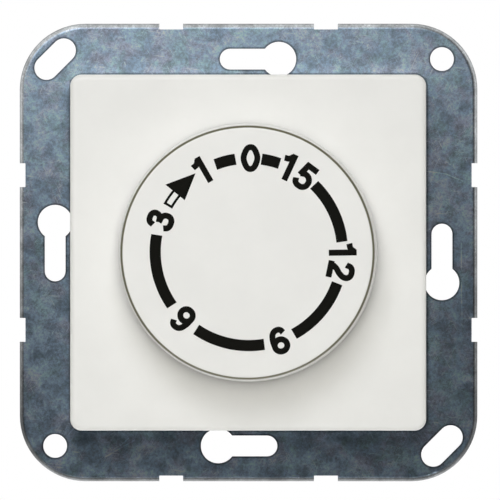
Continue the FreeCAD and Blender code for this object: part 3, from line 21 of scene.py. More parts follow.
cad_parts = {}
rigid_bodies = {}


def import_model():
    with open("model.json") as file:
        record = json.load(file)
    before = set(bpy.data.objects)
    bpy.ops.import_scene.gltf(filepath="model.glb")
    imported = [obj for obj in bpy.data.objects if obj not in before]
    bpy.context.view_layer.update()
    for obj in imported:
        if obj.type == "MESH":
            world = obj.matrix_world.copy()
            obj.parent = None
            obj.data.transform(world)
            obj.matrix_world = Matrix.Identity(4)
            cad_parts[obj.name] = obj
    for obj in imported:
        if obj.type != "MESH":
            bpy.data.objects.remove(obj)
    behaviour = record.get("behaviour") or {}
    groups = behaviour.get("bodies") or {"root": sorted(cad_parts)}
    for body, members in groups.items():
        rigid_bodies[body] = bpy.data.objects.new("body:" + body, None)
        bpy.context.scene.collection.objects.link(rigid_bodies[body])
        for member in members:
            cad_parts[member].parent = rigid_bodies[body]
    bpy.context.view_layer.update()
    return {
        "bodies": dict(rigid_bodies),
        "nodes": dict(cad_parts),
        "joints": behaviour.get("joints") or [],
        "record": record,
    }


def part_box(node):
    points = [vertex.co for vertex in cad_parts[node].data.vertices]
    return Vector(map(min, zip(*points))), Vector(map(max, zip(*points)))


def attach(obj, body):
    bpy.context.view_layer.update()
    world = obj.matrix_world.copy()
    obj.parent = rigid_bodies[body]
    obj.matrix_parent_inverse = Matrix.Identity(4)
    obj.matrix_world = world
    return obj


LOG = logging.getLogger("timer_switch")
MM = 0.001

Colour = tuple[float, float, float]
Point2 = tuple[float, float]
Point3 = tuple[float, float, float]

WHITE: Colour = (1.0, 1.0, 1.0)
IN_FRONT_PLANE: Point3 = (1.0, 0.0, 1.0)
UP: Point3 = (0.0, 0.0, 1.0)
BACKWARDS: Point3 = (0.0, 1.0, 0.0)


class Slot(Enum):
    """The material slots of the record."""

    GALVANISED_STEEL = "galvanised_steel"
    COVER_PLASTIC = "cover_plastic"
    KNOB_PLASTIC = "knob_plastic"
    HOUSING_PLASTIC = "housing_plastic"
    INSULATING_BOARD = "insulating_board"
    CAM_PLASTIC = "cam_plastic"
    PLATE_BRASS = "plate_brass"
    WHEEL_BRASS = "wheel_brass"
    TURNED_STEEL = "turned_steel"
    SPRING_STEEL = "spring_steel"
    SCREW_STEEL = "screw_steel"
    CONTACT_BRONZE = "contact_bronze"
    CONTACT_SILVER = "contact_silver"
    TERMINAL_BRASS = "terminal_brass"


class Body(Enum):
    """The moving groups of the CAD model that pieces ride on."""

    INSERT = "insert"
    KNOB_SPINDLE = "knob_spindle"


# --- Materials ---------------------------------------------------------------------------------


@dataclass(frozen=True)
class SlotHole:
    """A hole or a scratch with round ends, or a round hole where its ends are the same point."""

    start: Point2
    end: Point2
    radius: float

    def quarter_turned(self, times: int) -> SlotHole:
        """Turn the hole clockwise about the knob's axis.

        Args:
            times: How many quarters of a turn.

        Returns:
            The turned hole.
        """
        start, end = self.start, self.end
        for _ in range(times):
            start, end = (start[1], -start[0]), (end[1], -end[0])
        return SlotHole(start, end, self.radius)


@dataclass(frozen=True)
class Cloud:
    """A cloudy pattern: its clouds' size, its octaves, how strong small ones are, and its swirl."""

    size: float
    detail: float = 3.0
    roughness: float = 0.55
    swirl: float = 0.0


@dataclass(frozen=True)
class Ramp:
    """A range of values and what its two ends become."""

    low: float
    high: float
    at_low: float = 0.0
    at_high: float = 1.0

    def times(self, factor: float) -> Ramp:
        """The ramp with both results times a factor."""
        return Ramp(self.low, self.high, self.at_low * factor, self.at_high * factor)


class Wiring:
    """The node tree of one material, built a node at a time.

    The numbers are a Mix node's sockets for its share, its two colours and the mixed colour.
    """

    mix_share: int = 0
    mix_colours: tuple[int, int] = (6, 7)
    mix_result: int = 2

    def __init__(self, name: str) -> None:
        """Start a material with a principled shader.

        Args:
            name: The material's name.
        """
        self.material = bpy.data.materials.new(name)
        self.material.use_nodes = True
        self.tree = self.material.node_tree
        self.tree.nodes.clear()
        output = self.tree.nodes.new("ShaderNodeOutputMaterial")
        self.shader = self.tree.nodes.new("ShaderNodeBsdfPrincipled")
        self.tree.links.new(self.shader.outputs["BSDF"], output.inputs["Surface"])
        self.place = self.tree.nodes.new("ShaderNodeTexCoord").outputs["Object"]

    def feed(self, node: bpy.types.Node, socket: str | int, value: Any) -> None:
        """Link a socket to an input, or set the input to a plain value.

        Args:
            node: The node that is fed.
            socket: The name or number of its input.
            value: An output socket, a number, or a tuple.
        """
        if isinstance(value, bpy.types.NodeSocket):
            self.tree.links.new(value, node.inputs[socket])
        else:
            node.inputs[socket].default_value = value

    def mapped(self, scale: Point3, turn: Point3 = (0.0, 0.0, 0.0)) -> bpy.types.NodeSocket:
        """Stretch and turn the object's coordinates.

        Args:
            scale: Repeats per metre along each axis after the turn.
            turn: Turn in degrees about each axis.

        Returns:
            The changed coordinates.
        """
        node = self.tree.nodes.new("ShaderNodeMapping")
        node.vector_type = "TEXTURE"
        self.feed(node, "Vector", self.place)
        self.feed(node, "Rotation", tuple(math.radians(angle) for angle in turn))
        self.feed(node, "Scale", tuple(1.0 / each for each in scale))
        return node.outputs["Vector"]

    def noise(self, cloud: Cloud,
              place: bpy.types.NodeSocket | None = None) -> bpy.types.NodeSocket:
        """A cloudy pattern from 0 to 1.

        Args:
            cloud: The pattern.
            place: Coordinates, the object's own if none are given.

        Returns:
            The pattern's value.
        """
        node = self.tree.nodes.new("ShaderNodeTexNoise")
        for socket, value in (
            ("Vector", self.place if place is None else place), ("Scale", 1.0 / cloud.size),
            ("Detail", cloud.detail), ("Roughness", cloud.roughness), ("Distortion", cloud.swirl),
        ):
            self.feed(node, socket, value)
        return node.outputs["Fac"]

    def between(self, value: bpy.types.NodeSocket, ramp: Ramp) -> bpy.types.NodeSocket:
        """Map a range of values to another, held at its ends.

        Args:
            value: The value.
            ramp: The range and its results.

        Returns:
            The mapped value.
        """
        node = self.tree.nodes.new("ShaderNodeMapRange")
        node.interpolation_type = "SMOOTHSTEP"
        for number, each in enumerate((value, ramp.low, ramp.high, ramp.at_low, ramp.at_high)):
            self.feed(node, number, each)
        return node.outputs["Result"]

    def scalar(self, operation: str, *values: Any) -> bpy.types.NodeSocket:
        """One step of arithmetic on numbers.

        Args:
            operation: The Math node's operation.
            *values: Its inputs in turn, sockets or numbers.

        Returns:
            The result.
        """
        node = self.tree.nodes.new("ShaderNodeMath")
        node.operation = operation
        for number, value in enumerate(values):
            self.feed(node, number, value)
        return node.outputs["Value"]

    def vector(self, operation: str, *values: Any) -> bpy.types.NodeSocket:
        """One step of arithmetic on vectors or colours.

        Args:
            operation: The Vector Math node's operation.
            *values: Its inputs in turn, sockets or tuples.

        Returns:
            The result, a number where the operation makes one.
        """
        node = self.tree.nodes.new("ShaderNodeVectorMath")
        node.operation = operation
        for number, value in enumerate(values):
            self.feed(node, number, value)
        return next(output for output in node.outputs if output.enabled)

    def past_slot(self, place: bpy.types.NodeSocket, slot: SlotHole) -> bpy.types.NodeSocket:
        """How far each point lies outside a slot or a round hole.

        Args:
            place: Coordinates with Y at 0.
            slot: The hole.

        Returns:
            The distance from its edge.
        """
        start = (slot.start[0], 0.0, slot.start[1])
        along = (slot.end[0] - slot.start[0], 0.0, slot.end[1] - slot.start[1])
        nearest: Any = start
        if slot.start != slot.end:
            offset = self.vector("SUBTRACT", place, start)
            share = self.scalar("DIVIDE", self.vector("DOT_PRODUCT", offset, along),
                                along[0] ** 2 + along[2] ** 2)
            share = self.scalar("MINIMUM", self.scalar("MAXIMUM", share, 0.0), 1.0)
            nearest = self.vector("MULTIPLY_ADD", along, share, start)
        return self.scalar("SUBTRACT", self.vector("DISTANCE", place, nearest), slot.radius)

    def past_slots(self, place: bpy.types.NodeSocket,
                   slots: Sequence[SlotHole]) -> bpy.types.NodeSocket:
        """How far each point lies outside the nearest of several slots.

        Args:
            place: Coordinates with Y at 0.
            slots: The holes.

        Returns:
            The distance from the nearest edge.
        """
        nearest = self.past_slot(place, slots[0])
        for slot in slots[1:]:
            nearest = self.scalar("MINIMUM", nearest, self.past_slot(place, slot))
        return nearest

    def past_square(self, place: bpy.types.NodeSocket, half: float,
                    corner: float) -> bpy.types.NodeSocket:
        """How far each point lies outside a square with round corners.

        Args:
            place: Coordinates with Y at 0.
            half: Half its side.
            corner: Radius of its corners.

        Returns:
            The distance from its edge, below 0 inside it.
        """
        inner = half - corner
        over = self.vector("SUBTRACT", self.vector("ABSOLUTE", place), (inner, 0.0, inner))
        over = self.vector("MAXIMUM", over, (0.0, 0.0, 0.0))
        return self.scalar("SUBTRACT", self.vector("LENGTH", over), corner)

    def blend(self, share: Any, first: Any, second: Any) -> bpy.types.NodeSocket:
        """Mix two colours.

        Args:
            share: 0 for the first, 1 for the second.
            first: A colour or socket.
            second: A colour or socket.

        Returns:
            The mixed colour.
        """
        node = self.tree.nodes.new("ShaderNodeMix")
        node.data_type = "RGBA"
        self.feed(node, self.mix_share, share)
        for number, colour in zip(self.mix_colours, (first, second)):
            self.feed(node, number, (*colour, 1.0) if isinstance(colour, tuple) else colour)
        return node.outputs[self.mix_result]

    def relief(self, height: bpy.types.NodeSocket, strength: float, depth: float,
               under: bpy.types.NodeSocket | None = None) -> bpy.types.NodeSocket:
        """Tilt the surface by a pattern's height.

        Args:
            height: The pattern.
            strength: How much of it shows.
            depth: Height of the pattern in metres.
            under: An earlier relief to stand on.

        Returns:
            The tilted normal.
        """
        node = self.tree.nodes.new("ShaderNodeBump")
        for socket, value in (("Strength", strength), ("Distance", depth), ("Height", height)):
            self.feed(node, socket, value)
        if under is not None:
            self.feed(node, "Normal", under)
        return node.outputs["Normal"]

    def paint(self, **sockets: Any) -> bpy.types.Material:
        """Feed the shader and hand over the material.

        Args:
            **sockets: Inputs of the shader, with underscores for the spaces in their names.

        Returns:
            The material.
        """
        for socket, value in sockets.items():
            name = socket.replace("_", " ")
            self.feed(self.shader, name, (*value, 1.0) if isinstance(value, tuple) else value)
        return self.material


class Finish(Protocol):
    """What every finish can do."""

    def material(self, name: str) -> bpy.types.Material:
        """Make the material."""


def darker(colour: Colour, share: float) -> Colour:
    """The colour with all its parts times a share."""
    return colour[0] * share, colour[1] * share, colour[2] * share


@dataclass(frozen=True)
class Moulding:
    """Moulded plastic with a fine grain, faint flow marks and, at a radius, a dark ring of painted
    shade.
    """

    colour: Colour
    gloss_roughness: float
    grain: Cloud = Cloud(0.16 * MM, 2.0, 0.6)
    grain_strength: float = 0.35
    grain_depth: float = 0.004 * MM
    cloud: Cloud = Cloud(9.0 * MM, 4.0, 0.6)
    cloud_edge: Ramp = Ramp(0.3, 0.7)
    patchiness: float = 0.03
    flow: Cloud = Cloud(20.0 * MM, 3.0, 0.5, 0.6)
    flow_stretch: Point3 = (1.0, 1.0, 0.25)
    gloss: Ramp = Ramp(0.25, 0.75, 0.88, 1.14)
    # Painted shade: a thin dark ring at this radius, for the shade where the knob's face meets its
    # side.
    shade_ring_radius: float = 0.0
    shade_ring_edge: Ramp = Ramp(0.102 * MM, 0.255 * MM)
    shade_ring_colour: Colour = (0.085, 0.078, 0.035)

    def material(self, name: str) -> bpy.types.Material:
        """Make the material.

        Args:
            name: The material's name.

        Returns:
            The material.
        """
        wires = Wiring(name)
        tone = wires.blend(wires.between(wires.noise(self.cloud), self.cloud_edge), self.colour,
                           darker(self.colour, 1.0 - self.patchiness))
        # Painted shade: darken a thin ring at the edge of the face.
        if self.shade_ring_radius:
            radius = wires.vector("LENGTH", wires.vector("MULTIPLY", wires.place, IN_FRONT_PLANE))
            off_shade_ring = wires.scalar("ABSOLUTE", wires.scalar("SUBTRACT", radius, self.shade_ring_radius))
            tone = wires.blend(wires.between(off_shade_ring, self.shade_ring_edge), self.shade_ring_colour, tone)
        flow = wires.noise(self.flow, wires.mapped(self.flow_stretch))
        gloss = wires.between(flow, self.gloss.times(self.gloss_roughness))
        return wires.paint(Base_Color=tone, Roughness=gloss, Normal=wires.relief(
            wires.noise(self.grain), self.grain_strength, self.grain_depth))


@dataclass(frozen=True)
class FrameShape:
    """The edges and holes of the CAD model that painted shade and painted highlights follow, in the
    plane of the frame.
    """

    half: float = 35.5 * MM
    corner: float = 10.2 * MM
    cover_half: float = 27.5 * MM
    cover_corner: float = 1.8 * MM
    box_screw: float = 30.0 * MM
    hole_radius: float = 1.85 * MM
    slot_radius: float = 1.88 * MM
    slot_reach: float = 1.34 * MM
    key_radius: float = 2.7 * MM
    key_place: float = 4.7 * MM
    key_slot_radius: float = 1.62 * MM
    key_slot_end: float = -2.85 * MM

    def holes(self) -> list[SlotHole]:
        """The holes of the frame that the front shows.

        Returns:
            The two round holes, the two slots, and the two parts of each of the four keyholes.
        """
        at, reach, holes = self.box_screw, self.slot_reach, []
        for side in (-at, at):
            holes.append(SlotHole((side, side), (side, side), self.hole_radius))
        for side in (-at, at):
            holes.append(SlotHole((-side - reach, side - reach), (-side + reach, side + reach),
                                  self.slot_radius))
        for times in range(4):
            for end, radius in ((self.key_place, self.key_radius),
                                (self.key_slot_end, self.key_slot_radius)):
                hole = SlotHole((end, at), (self.key_place, at), radius)
                holes.append(hole.quarter_turned(times))
        return holes


FRAME_SHAPE = FrameShape()
# Light lines on the frame: scratches, and a painted highlight along the crease of the right flange.
SCRATCH_AND_CREASE_RADIUS = 0.02 * MM
FRAME_SCRATCHES_AND_CREASE_HIGHLIGHT: tuple[SlotHole, ...] = tuple(
    SlotHole((from_x * MM, from_z * MM), (to_x * MM, to_z * MM), SCRATCH_AND_CREASE_RADIUS)
    for from_x, from_z, to_x, to_z in (
        # The two lines at x 33 mm are a painted highlight along the crease of the right flange; the
        # rest are scratches.
        (27.7, 12.6, 30.6, 12.2), (30.6, 12.2, 33.2, 11.1), (33.0, 1.4, 33.0, -2.4),
        (33.0, -4.7, 33.1, -10.4), (-27.9, -28.2, -26.8, -26.9), (-6.1, -29.2, -6.8, -30.4),
        (-18.6, -28.8, -19.9, -30.0), (-17.7, -29.1, -22.2, -31.7)))


@dataclass(frozen=True)
class ZincSheet:
    """Galvanised sheet steel: zinc in greys of several hues, scuffed, with painted shade and
    highlights at its edges.
    """

    blue: Colour
    violet: Colour
    green: Colour
    gloss_roughness: float
    hue: Cloud = Cloud(3.4 * MM, 4.0, 0.62, 0.5)
    violet_edge: Ramp = Ramp(0.42, 0.66)
    other_hue: Cloud = Cloud(3.4 * MM / 1.1, 4.0, 0.62, 0.5)
    other_turn: Point3 = (90.0, 35.0, 0.0)
    green_edge: Ramp = Ramp(0.46, 0.7)
    patch: Cloud = Cloud(2.1 * MM, 5.0, 0.6, 0.2)
    patch_shade: Ramp = Ramp(0.3, 0.7, 0.76, 1.26)
    patch_strength: float = 0.1
    patch_depth: float = 0.02 * MM
    mottle: Cloud = Cloud(0.42 * MM, 4.0, 0.8, 0.4)
    mottle_shade: Ramp = Ramp(0.3, 0.7, 0.74, 1.27)
    gloss: Ramp = Ramp(0.3, 0.7, 0.94, 1.08)
    scuff: Cloud = Cloud(1.0, 2.0, 0.6, 0.8)
    scuff_width: float = 0.16 * MM
    scuff_stretch: float = 0.07
    scuff_narrowing: float = 0.17
    scuff_turns: tuple[float, ...] = (8.0, 62.0, 117.0, 151.0)
    scuff_edge: Ramp = Ramp(0.6, 0.76)
    scuff_place: Ramp = Ramp(0.35, 0.6)
    scuff_gain: float = 0.9
    scuff_strength: float = 0.25
    scuff_depth: float = 0.004 * MM
    scratch_and_crease_edge: Ramp = Ramp(0.0, 0.13 * MM, 1.0, 0.0)
    scratch_and_crease_place: Ramp = Ramp(0.35, 0.6, 0.3, 1.0)
    scratch_and_crease_gain: float = 0.75
    # Painted highlight along the rim in grey, with painted shade that darkens it towards the
    # bottom.
    rim_highlight_edge: Ramp = Ramp(-0.8 * MM, -0.48 * MM)
    rim_highlight_colour: Colour = (0.47, 0.49, 0.5)
    rim_low_painted_shade: float = 0.25
    # Painted shade: a thin dark line right at the outer edge, where the bend turns away from the
    # light.
    lip_painted_shade: Ramp = Ramp(-0.22 * MM, -0.11 * MM, 1.0, 0.62)
    # Painted shade: a dark ring round the edge of each hole, where the rounded edge reflects the
    # dark room.
    hole_edge_painted_shade: Ramp = Ramp(0.0, 0.42 * MM, 0.22, 1.0)
    front_only: Ramp = Ramp(-1.0 * MM, -0.8 * MM)
    # Painted shadow: a dark line on the frame along the cover's edge.
    cover_gap_painted_shade: Ramp = Ramp(0.2 * MM, 0.5 * MM, 0.45, 1.0)
    # Painted shadow: a darker band on the frame below the cover, from the cover's outline moved
    # down.
    cover_shadow_drop: float = 1.8 * MM
    cover_shadow_painted_shade: Ramp = Ramp(-0.54 * MM, 1.08 * MM, 0.6, 1.0)

    def material(self, name: str) -> bpy.types.Material:
        """Make the material.

        Args:
            name: The material's name.

        Returns:
            The material.
        """
        wires = Wiring(name)
        flat = wires.vector("MULTIPLY", wires.place, IN_FRONT_PLANE)
        outside = wires.past_square(flat, FRAME_SHAPE.half, FRAME_SHAPE.corner)
        hue, patches = wires.noise(self.hue), wires.noise(self.patch)
        rubbed = wires.scalar("MULTIPLY", self.scuffs(wires), wires.between(hue, self.scuff_place))
        shade = wires.scalar("MULTIPLY", wires.between(patches, self.patch_shade),
                             wires.between(wires.noise(self.mottle), self.mottle_shade))
        shade = wires.scalar("MULTIPLY_ADD", rubbed, self.scuff_gain, shade)
        shade = self.scratch_shade_and_highlight(wires, flat, outside, patches, shade)
        ground = wires.relief(patches, self.patch_strength, self.patch_depth)
        return wires.paint(
            Base_Color=wires.vector("MULTIPLY", self.tone(wires, flat, outside, hue), shade),
            Roughness=wires.between(patches, self.gloss.times(self.gloss_roughness)), Metallic=1.0,
            Normal=wires.relief(rubbed, self.scuff_strength, self.scuff_depth, ground))

    def tone(self, wires: Wiring, flat: bpy.types.NodeSocket, outside: bpy.types.NodeSocket,
             hue: bpy.types.NodeSocket) -> bpy.types.NodeSocket:
        """The zinc's hues, and a grey painted highlight along the rim, darker towards the bottom as
        painted shade.

        Args:
            wires: The material.
            flat: Coordinates in the plane of the frame.
            outside: Distance from the frame's edge.
            hue: The pattern that goes from blue to violet.

        Returns:
            The colour.
        """
        other_hue = wires.noise(self.other_hue, wires.mapped((1.0, 1.0, 1.0), self.other_turn))
        tone = wires.blend(wires.between(hue, self.violet_edge), self.blue, self.violet)
        tone = wires.blend(wires.between(other_hue, self.green_edge), tone, self.green)
        half = FRAME_SHAPE.half
        # Painted shade: the rim's highlight darkens towards the bottom, where the light does not
        # reach.
        height = wires.between(wires.vector("DOT_PRODUCT", flat, UP),
                               Ramp(-half, half, self.rim_low_painted_shade, 1.0))
        return wires.blend(wires.between(outside, self.rim_highlight_edge), tone,
                           wires.vector("MULTIPLY", self.rim_highlight_colour, height))

    def scuffs(self, wires: Wiring) -> bpy.types.NodeSocket:
        """Short hairlines in several directions.

        Args:
            wires: The material.

        Returns:
            1 on a hairline and 0 beside it.
        """
        lines: bpy.types.NodeSocket | None = None
        across = 1.0 / self.scuff_width
        for number, turn in enumerate(self.scuff_turns):
            place = wires.mapped((across * self.scuff_stretch, across, across), (0.0, turn, 0.0))
            size = self.scuff.size / (1.0 + self.scuff_narrowing * number)
            one = wires.between(wires.noise(replace(self.scuff, size=size), place), self.scuff_edge)
            lines = one if lines is None else wires.scalar("MAXIMUM", lines, one)
        return lines

    def scratch_shade_and_highlight(self, wires: Wiring, flat: bpy.types.NodeSocket, outside: bpy.types.NodeSocket,
             patches: bpy.types.NodeSocket, shade: bpy.types.NodeSocket) -> bpy.types.NodeSocket:
        """Add the long scratches and the crease's painted highlight, and painted shade at the edges
        and round the cover.

        Args:
            wires: The material.
            flat: Coordinates in the plane of the frame.
            outside: Distance from the frame's edge.
            patches: The pattern that breaks the scratches and the crease highlight up.
            shade: How light the zinc is before.

        Returns:
            How light it is after.
        """
        depth = wires.vector("DOT_PRODUCT", wires.place, BACKWARDS)
        behind = wires.between(depth, self.front_only)
        # Scratches, and the painted highlight along the right flange's crease.
        scratches = wires.scalar("ADD", wires.past_slots(flat, FRAME_SCRATCHES_AND_CREASE_HIGHLIGHT), behind)
        scratch_and_crease_highlight = wires.scalar("MULTIPLY", wires.between(scratches, self.scratch_and_crease_edge),
                                 wires.between(patches, self.scratch_and_crease_place))
        shade = wires.scalar("MULTIPLY_ADD", scratch_and_crease_highlight, self.scratch_and_crease_gain, shade)
        # Painted shadow on the frame along the cover's edge and in a band below it.
        cover_gap_distance, cover_shadow_distance = (
            wires.scalar("ADD", behind, wires.past_square(
                place, FRAME_SHAPE.cover_half, FRAME_SHAPE.cover_corner))
            for place in (flat, wires.vector("ADD", flat, (0.0, 0.0, self.cover_shadow_drop))))
        # Painted shade at the holes' edges and at the outer lip, and painted shadow round and under
        # the cover.
        for distance, ramp in (
            (wires.past_slots(flat, FRAME_SHAPE.holes()), self.hole_edge_painted_shade),
            (cover_gap_distance, self.cover_gap_painted_shade), (cover_shadow_distance, self.cover_shadow_painted_shade), (outside, self.lip_painted_shade),
        ):
            shade = wires.scalar("MULTIPLY", shade, wires.between(distance, ramp))
        return shade


class Grain(Enum):
    """Which way a metal's drawing or turning marks run."""

    ALONG_X = (0.03, 1.0, 1.0)
    ALONG_Y = (1.0, 0.03, 1.0)
    ALONG_Z = (1.0, 1.0, 0.03)
    NONE = (1.0, 1.0, 1.0)


@dataclass(frozen=True)
class WorkedMetal:
    """Rolled, drawn or turned metal with fine marks one way and a little tarnish."""

    colour: Colour
    tarnish: Colour
    gloss_roughness: float
    grain: Grain = Grain.NONE
    mark: Cloud = Cloud(1.0, 2.0, 0.6)
    mark_width: float = 0.05 * MM
    mark_edge: Ramp = Ramp(0.3, 0.75, 0.0, 0.3)
    mark_shade: float = 0.72
    mark_strength: float = 0.25
    mark_depth: float = 0.004 * MM
    stain: Cloud = Cloud(2.2 * MM, 4.0, 0.62, 0.5)
    stain_edge: Ramp = Ramp(0.42, 0.72, 0.0, 0.5)
    gloss: Ramp = Ramp(0.2, 0.8, 0.75, 1.3)

    def material(self, name: str) -> bpy.types.Material:
        """Make the material.

        Args:
            name: The material's name.

        Returns:
            The material.
        """
        wires = Wiring(name)
        repeats = tuple(each / self.mark_width for each in self.grain.value)
        marks = wires.noise(self.mark, wires.mapped(repeats))
        tone = wires.blend(wires.between(wires.noise(self.stain), self.stain_edge), self.colour,
                           self.tarnish)
        tone = wires.blend(wires.between(marks, self.mark_edge), tone,
                           darker(self.colour, self.mark_shade))
        gloss = wires.between(marks, self.gloss.times(self.gloss_roughness))
        return wires.paint(Base_Color=tone, Roughness=gloss, Metallic=1.0,
                           Normal=wires.relief(marks, self.mark_strength, self.mark_depth))


@dataclass(frozen=True)
class LaminatedBoard:
    """Resin-bonded paper board with a woven print on its faces."""

    colour: Colour
    thread: Cloud = Cloud(0.35 * MM, 2.0, 0.5)
    thread_stretch: float = 0.12
    weave_edge: Ramp = Ramp(0.12, 0.4)
    weave_shade: float = 0.7
    weave_strength: float = 0.4
    weave_depth: float = 0.02 * MM
    gloss_roughness: float = 0.5

    def material(self, name: str) -> bpy.types.Material:
        """Make the material.

        Args:
            name: The material's name.

        Returns:
            The material.
        """
        wires = Wiring(name)
        along = wires.noise(self.thread, wires.mapped((1.0, 1.0, self.thread_stretch)))
        across = wires.noise(self.thread, wires.mapped((self.thread_stretch, 1.0, 1.0)))
        weave = wires.scalar("MULTIPLY", along, across)
        tone = wires.blend(wires.between(weave, self.weave_edge),
                           darker(self.colour, self.weave_shade), self.colour)
        return wires.paint(Base_Color=tone, Roughness=self.gloss_roughness, Normal=wires.relief(
            weave, self.weave_strength, self.weave_depth))


@dataclass(frozen=True)
class PrintingInk:
    """Black pad-printed ink, slightly uneven."""

    colour: Colour = (0.005, 0.005, 0.004)
    dot: Cloud = Cloud(0.12 * MM, 3.0, 0.6)
    dot_edge: Ramp = Ramp(0.35, 0.75)
    dot_shade: float = 1.6
    dot_strength: float = 0.3
    dot_depth: float = 0.003 * MM
    gloss: Ramp = Ramp(0.2, 0.8, 0.55, 0.7)
    specular: float = 0.07

    def material(self, name: str) -> bpy.types.Material:
        """Make the material.

        Args:
            name: The material's name.

        Returns:
            The material.
        """
        wires = Wiring(name)
        dots = wires.noise(self.dot)
        tone = wires.blend(wires.between(dots, self.dot_edge), self.colour,
                           darker(self.colour, self.dot_shade))
        return wires.paint(Base_Color=tone, Roughness=wires.between(dots, self.gloss),
                           Specular_IOR_Level=self.specular,
                           Normal=wires.relief(dots, self.dot_strength, self.dot_depth))


FINISHES: dict[Slot, Finish] = {
    Slot.GALVANISED_STEEL: ZincSheet((0.505, 0.67, 0.855), (0.575, 0.65, 0.82),
                                     (0.49, 0.68, 0.775), 0.35),
    Slot.COVER_PLASTIC: Moulding((0.81, 0.803, 0.79), 0.36),
    # The knob's dark ring at 19.35 mm is painted shade at the edge of its face.
    Slot.KNOB_PLASTIC: Moulding((0.825, 0.817, 0.805), 0.33, shade_ring_radius=19.35 * MM),
    Slot.HOUSING_PLASTIC: Moulding((0.038, 0.038, 0.041), 0.5, grain=Cloud(0.3 * MM, 2.0, 0.6),
                                   grain_depth=0.02 * MM, patchiness=0.2),
    Slot.INSULATING_BOARD: LaminatedBoard((0.3, 0.15, 0.07)),
    Slot.CAM_PLASTIC: Moulding((0.62, 0.58, 0.47), 0.4, patchiness=0.06),
    Slot.PLATE_BRASS: WorkedMetal((0.72, 0.53, 0.24), (0.5, 0.33, 0.14), 0.3, Grain.ALONG_X),
    Slot.WHEEL_BRASS: WorkedMetal((0.76, 0.57, 0.27), (0.55, 0.37, 0.16), 0.26),
    Slot.TURNED_STEEL: WorkedMetal((0.56, 0.57, 0.58), (0.42, 0.42, 0.42), 0.25, Grain.ALONG_X),
    Slot.SPRING_STEEL: WorkedMetal((0.16, 0.2, 0.3), (0.24, 0.18, 0.16), 0.28, Grain.ALONG_Y),
    Slot.SCREW_STEEL: WorkedMetal((0.58, 0.58, 0.56), (0.42, 0.41, 0.38), 0.3),
    Slot.CONTACT_BRONZE: WorkedMetal((0.68, 0.41, 0.24), (0.45, 0.25, 0.14), 0.3, Grain.ALONG_Z),
    Slot.CONTACT_SILVER: WorkedMetal((0.82, 0.81, 0.78), (0.5, 0.48, 0.44), 0.2),
    Slot.TERMINAL_BRASS: WorkedMetal((0.66, 0.57, 0.4), (0.48, 0.36, 0.2), 0.3, Grain.ALONG_Y),
}


class PaintShop:
    """Makes each finish once and puts it on nodes and pieces."""

    def __init__(self) -> None:
        """Start with no material made."""
        self.made: dict[Slot, bpy.types.Material] = {}
        self.ink = PrintingInk().material("printing_ink")

    def material(self, slot: Slot) -> bpy.types.Material:
        """The material of a slot.

        Args:
            slot: The record's slot.

        Returns:
            Its material.
        """
        if slot not in self.made:
            self.made[slot] = FINISHES[slot].material(slot.value)
        return self.made[slot]

    def dress(self, node: bpy.types.Object, slot: Slot) -> None:
        """Put a finish on a CAD node.

        Args:
            node: The node.
            slot: The record's slot.
        """
        for place in node.material_slots:
            place.material = self.material(slot)


# --- Building meshes ---------------------------------------------------------------------------


@dataclass(frozen=True)
class Stroke:
    """A line drawn with a pen: smooth through its points, or straight between them."""

    points: tuple[Point2, ...]
    straight: bool = False
    closed: bool = False


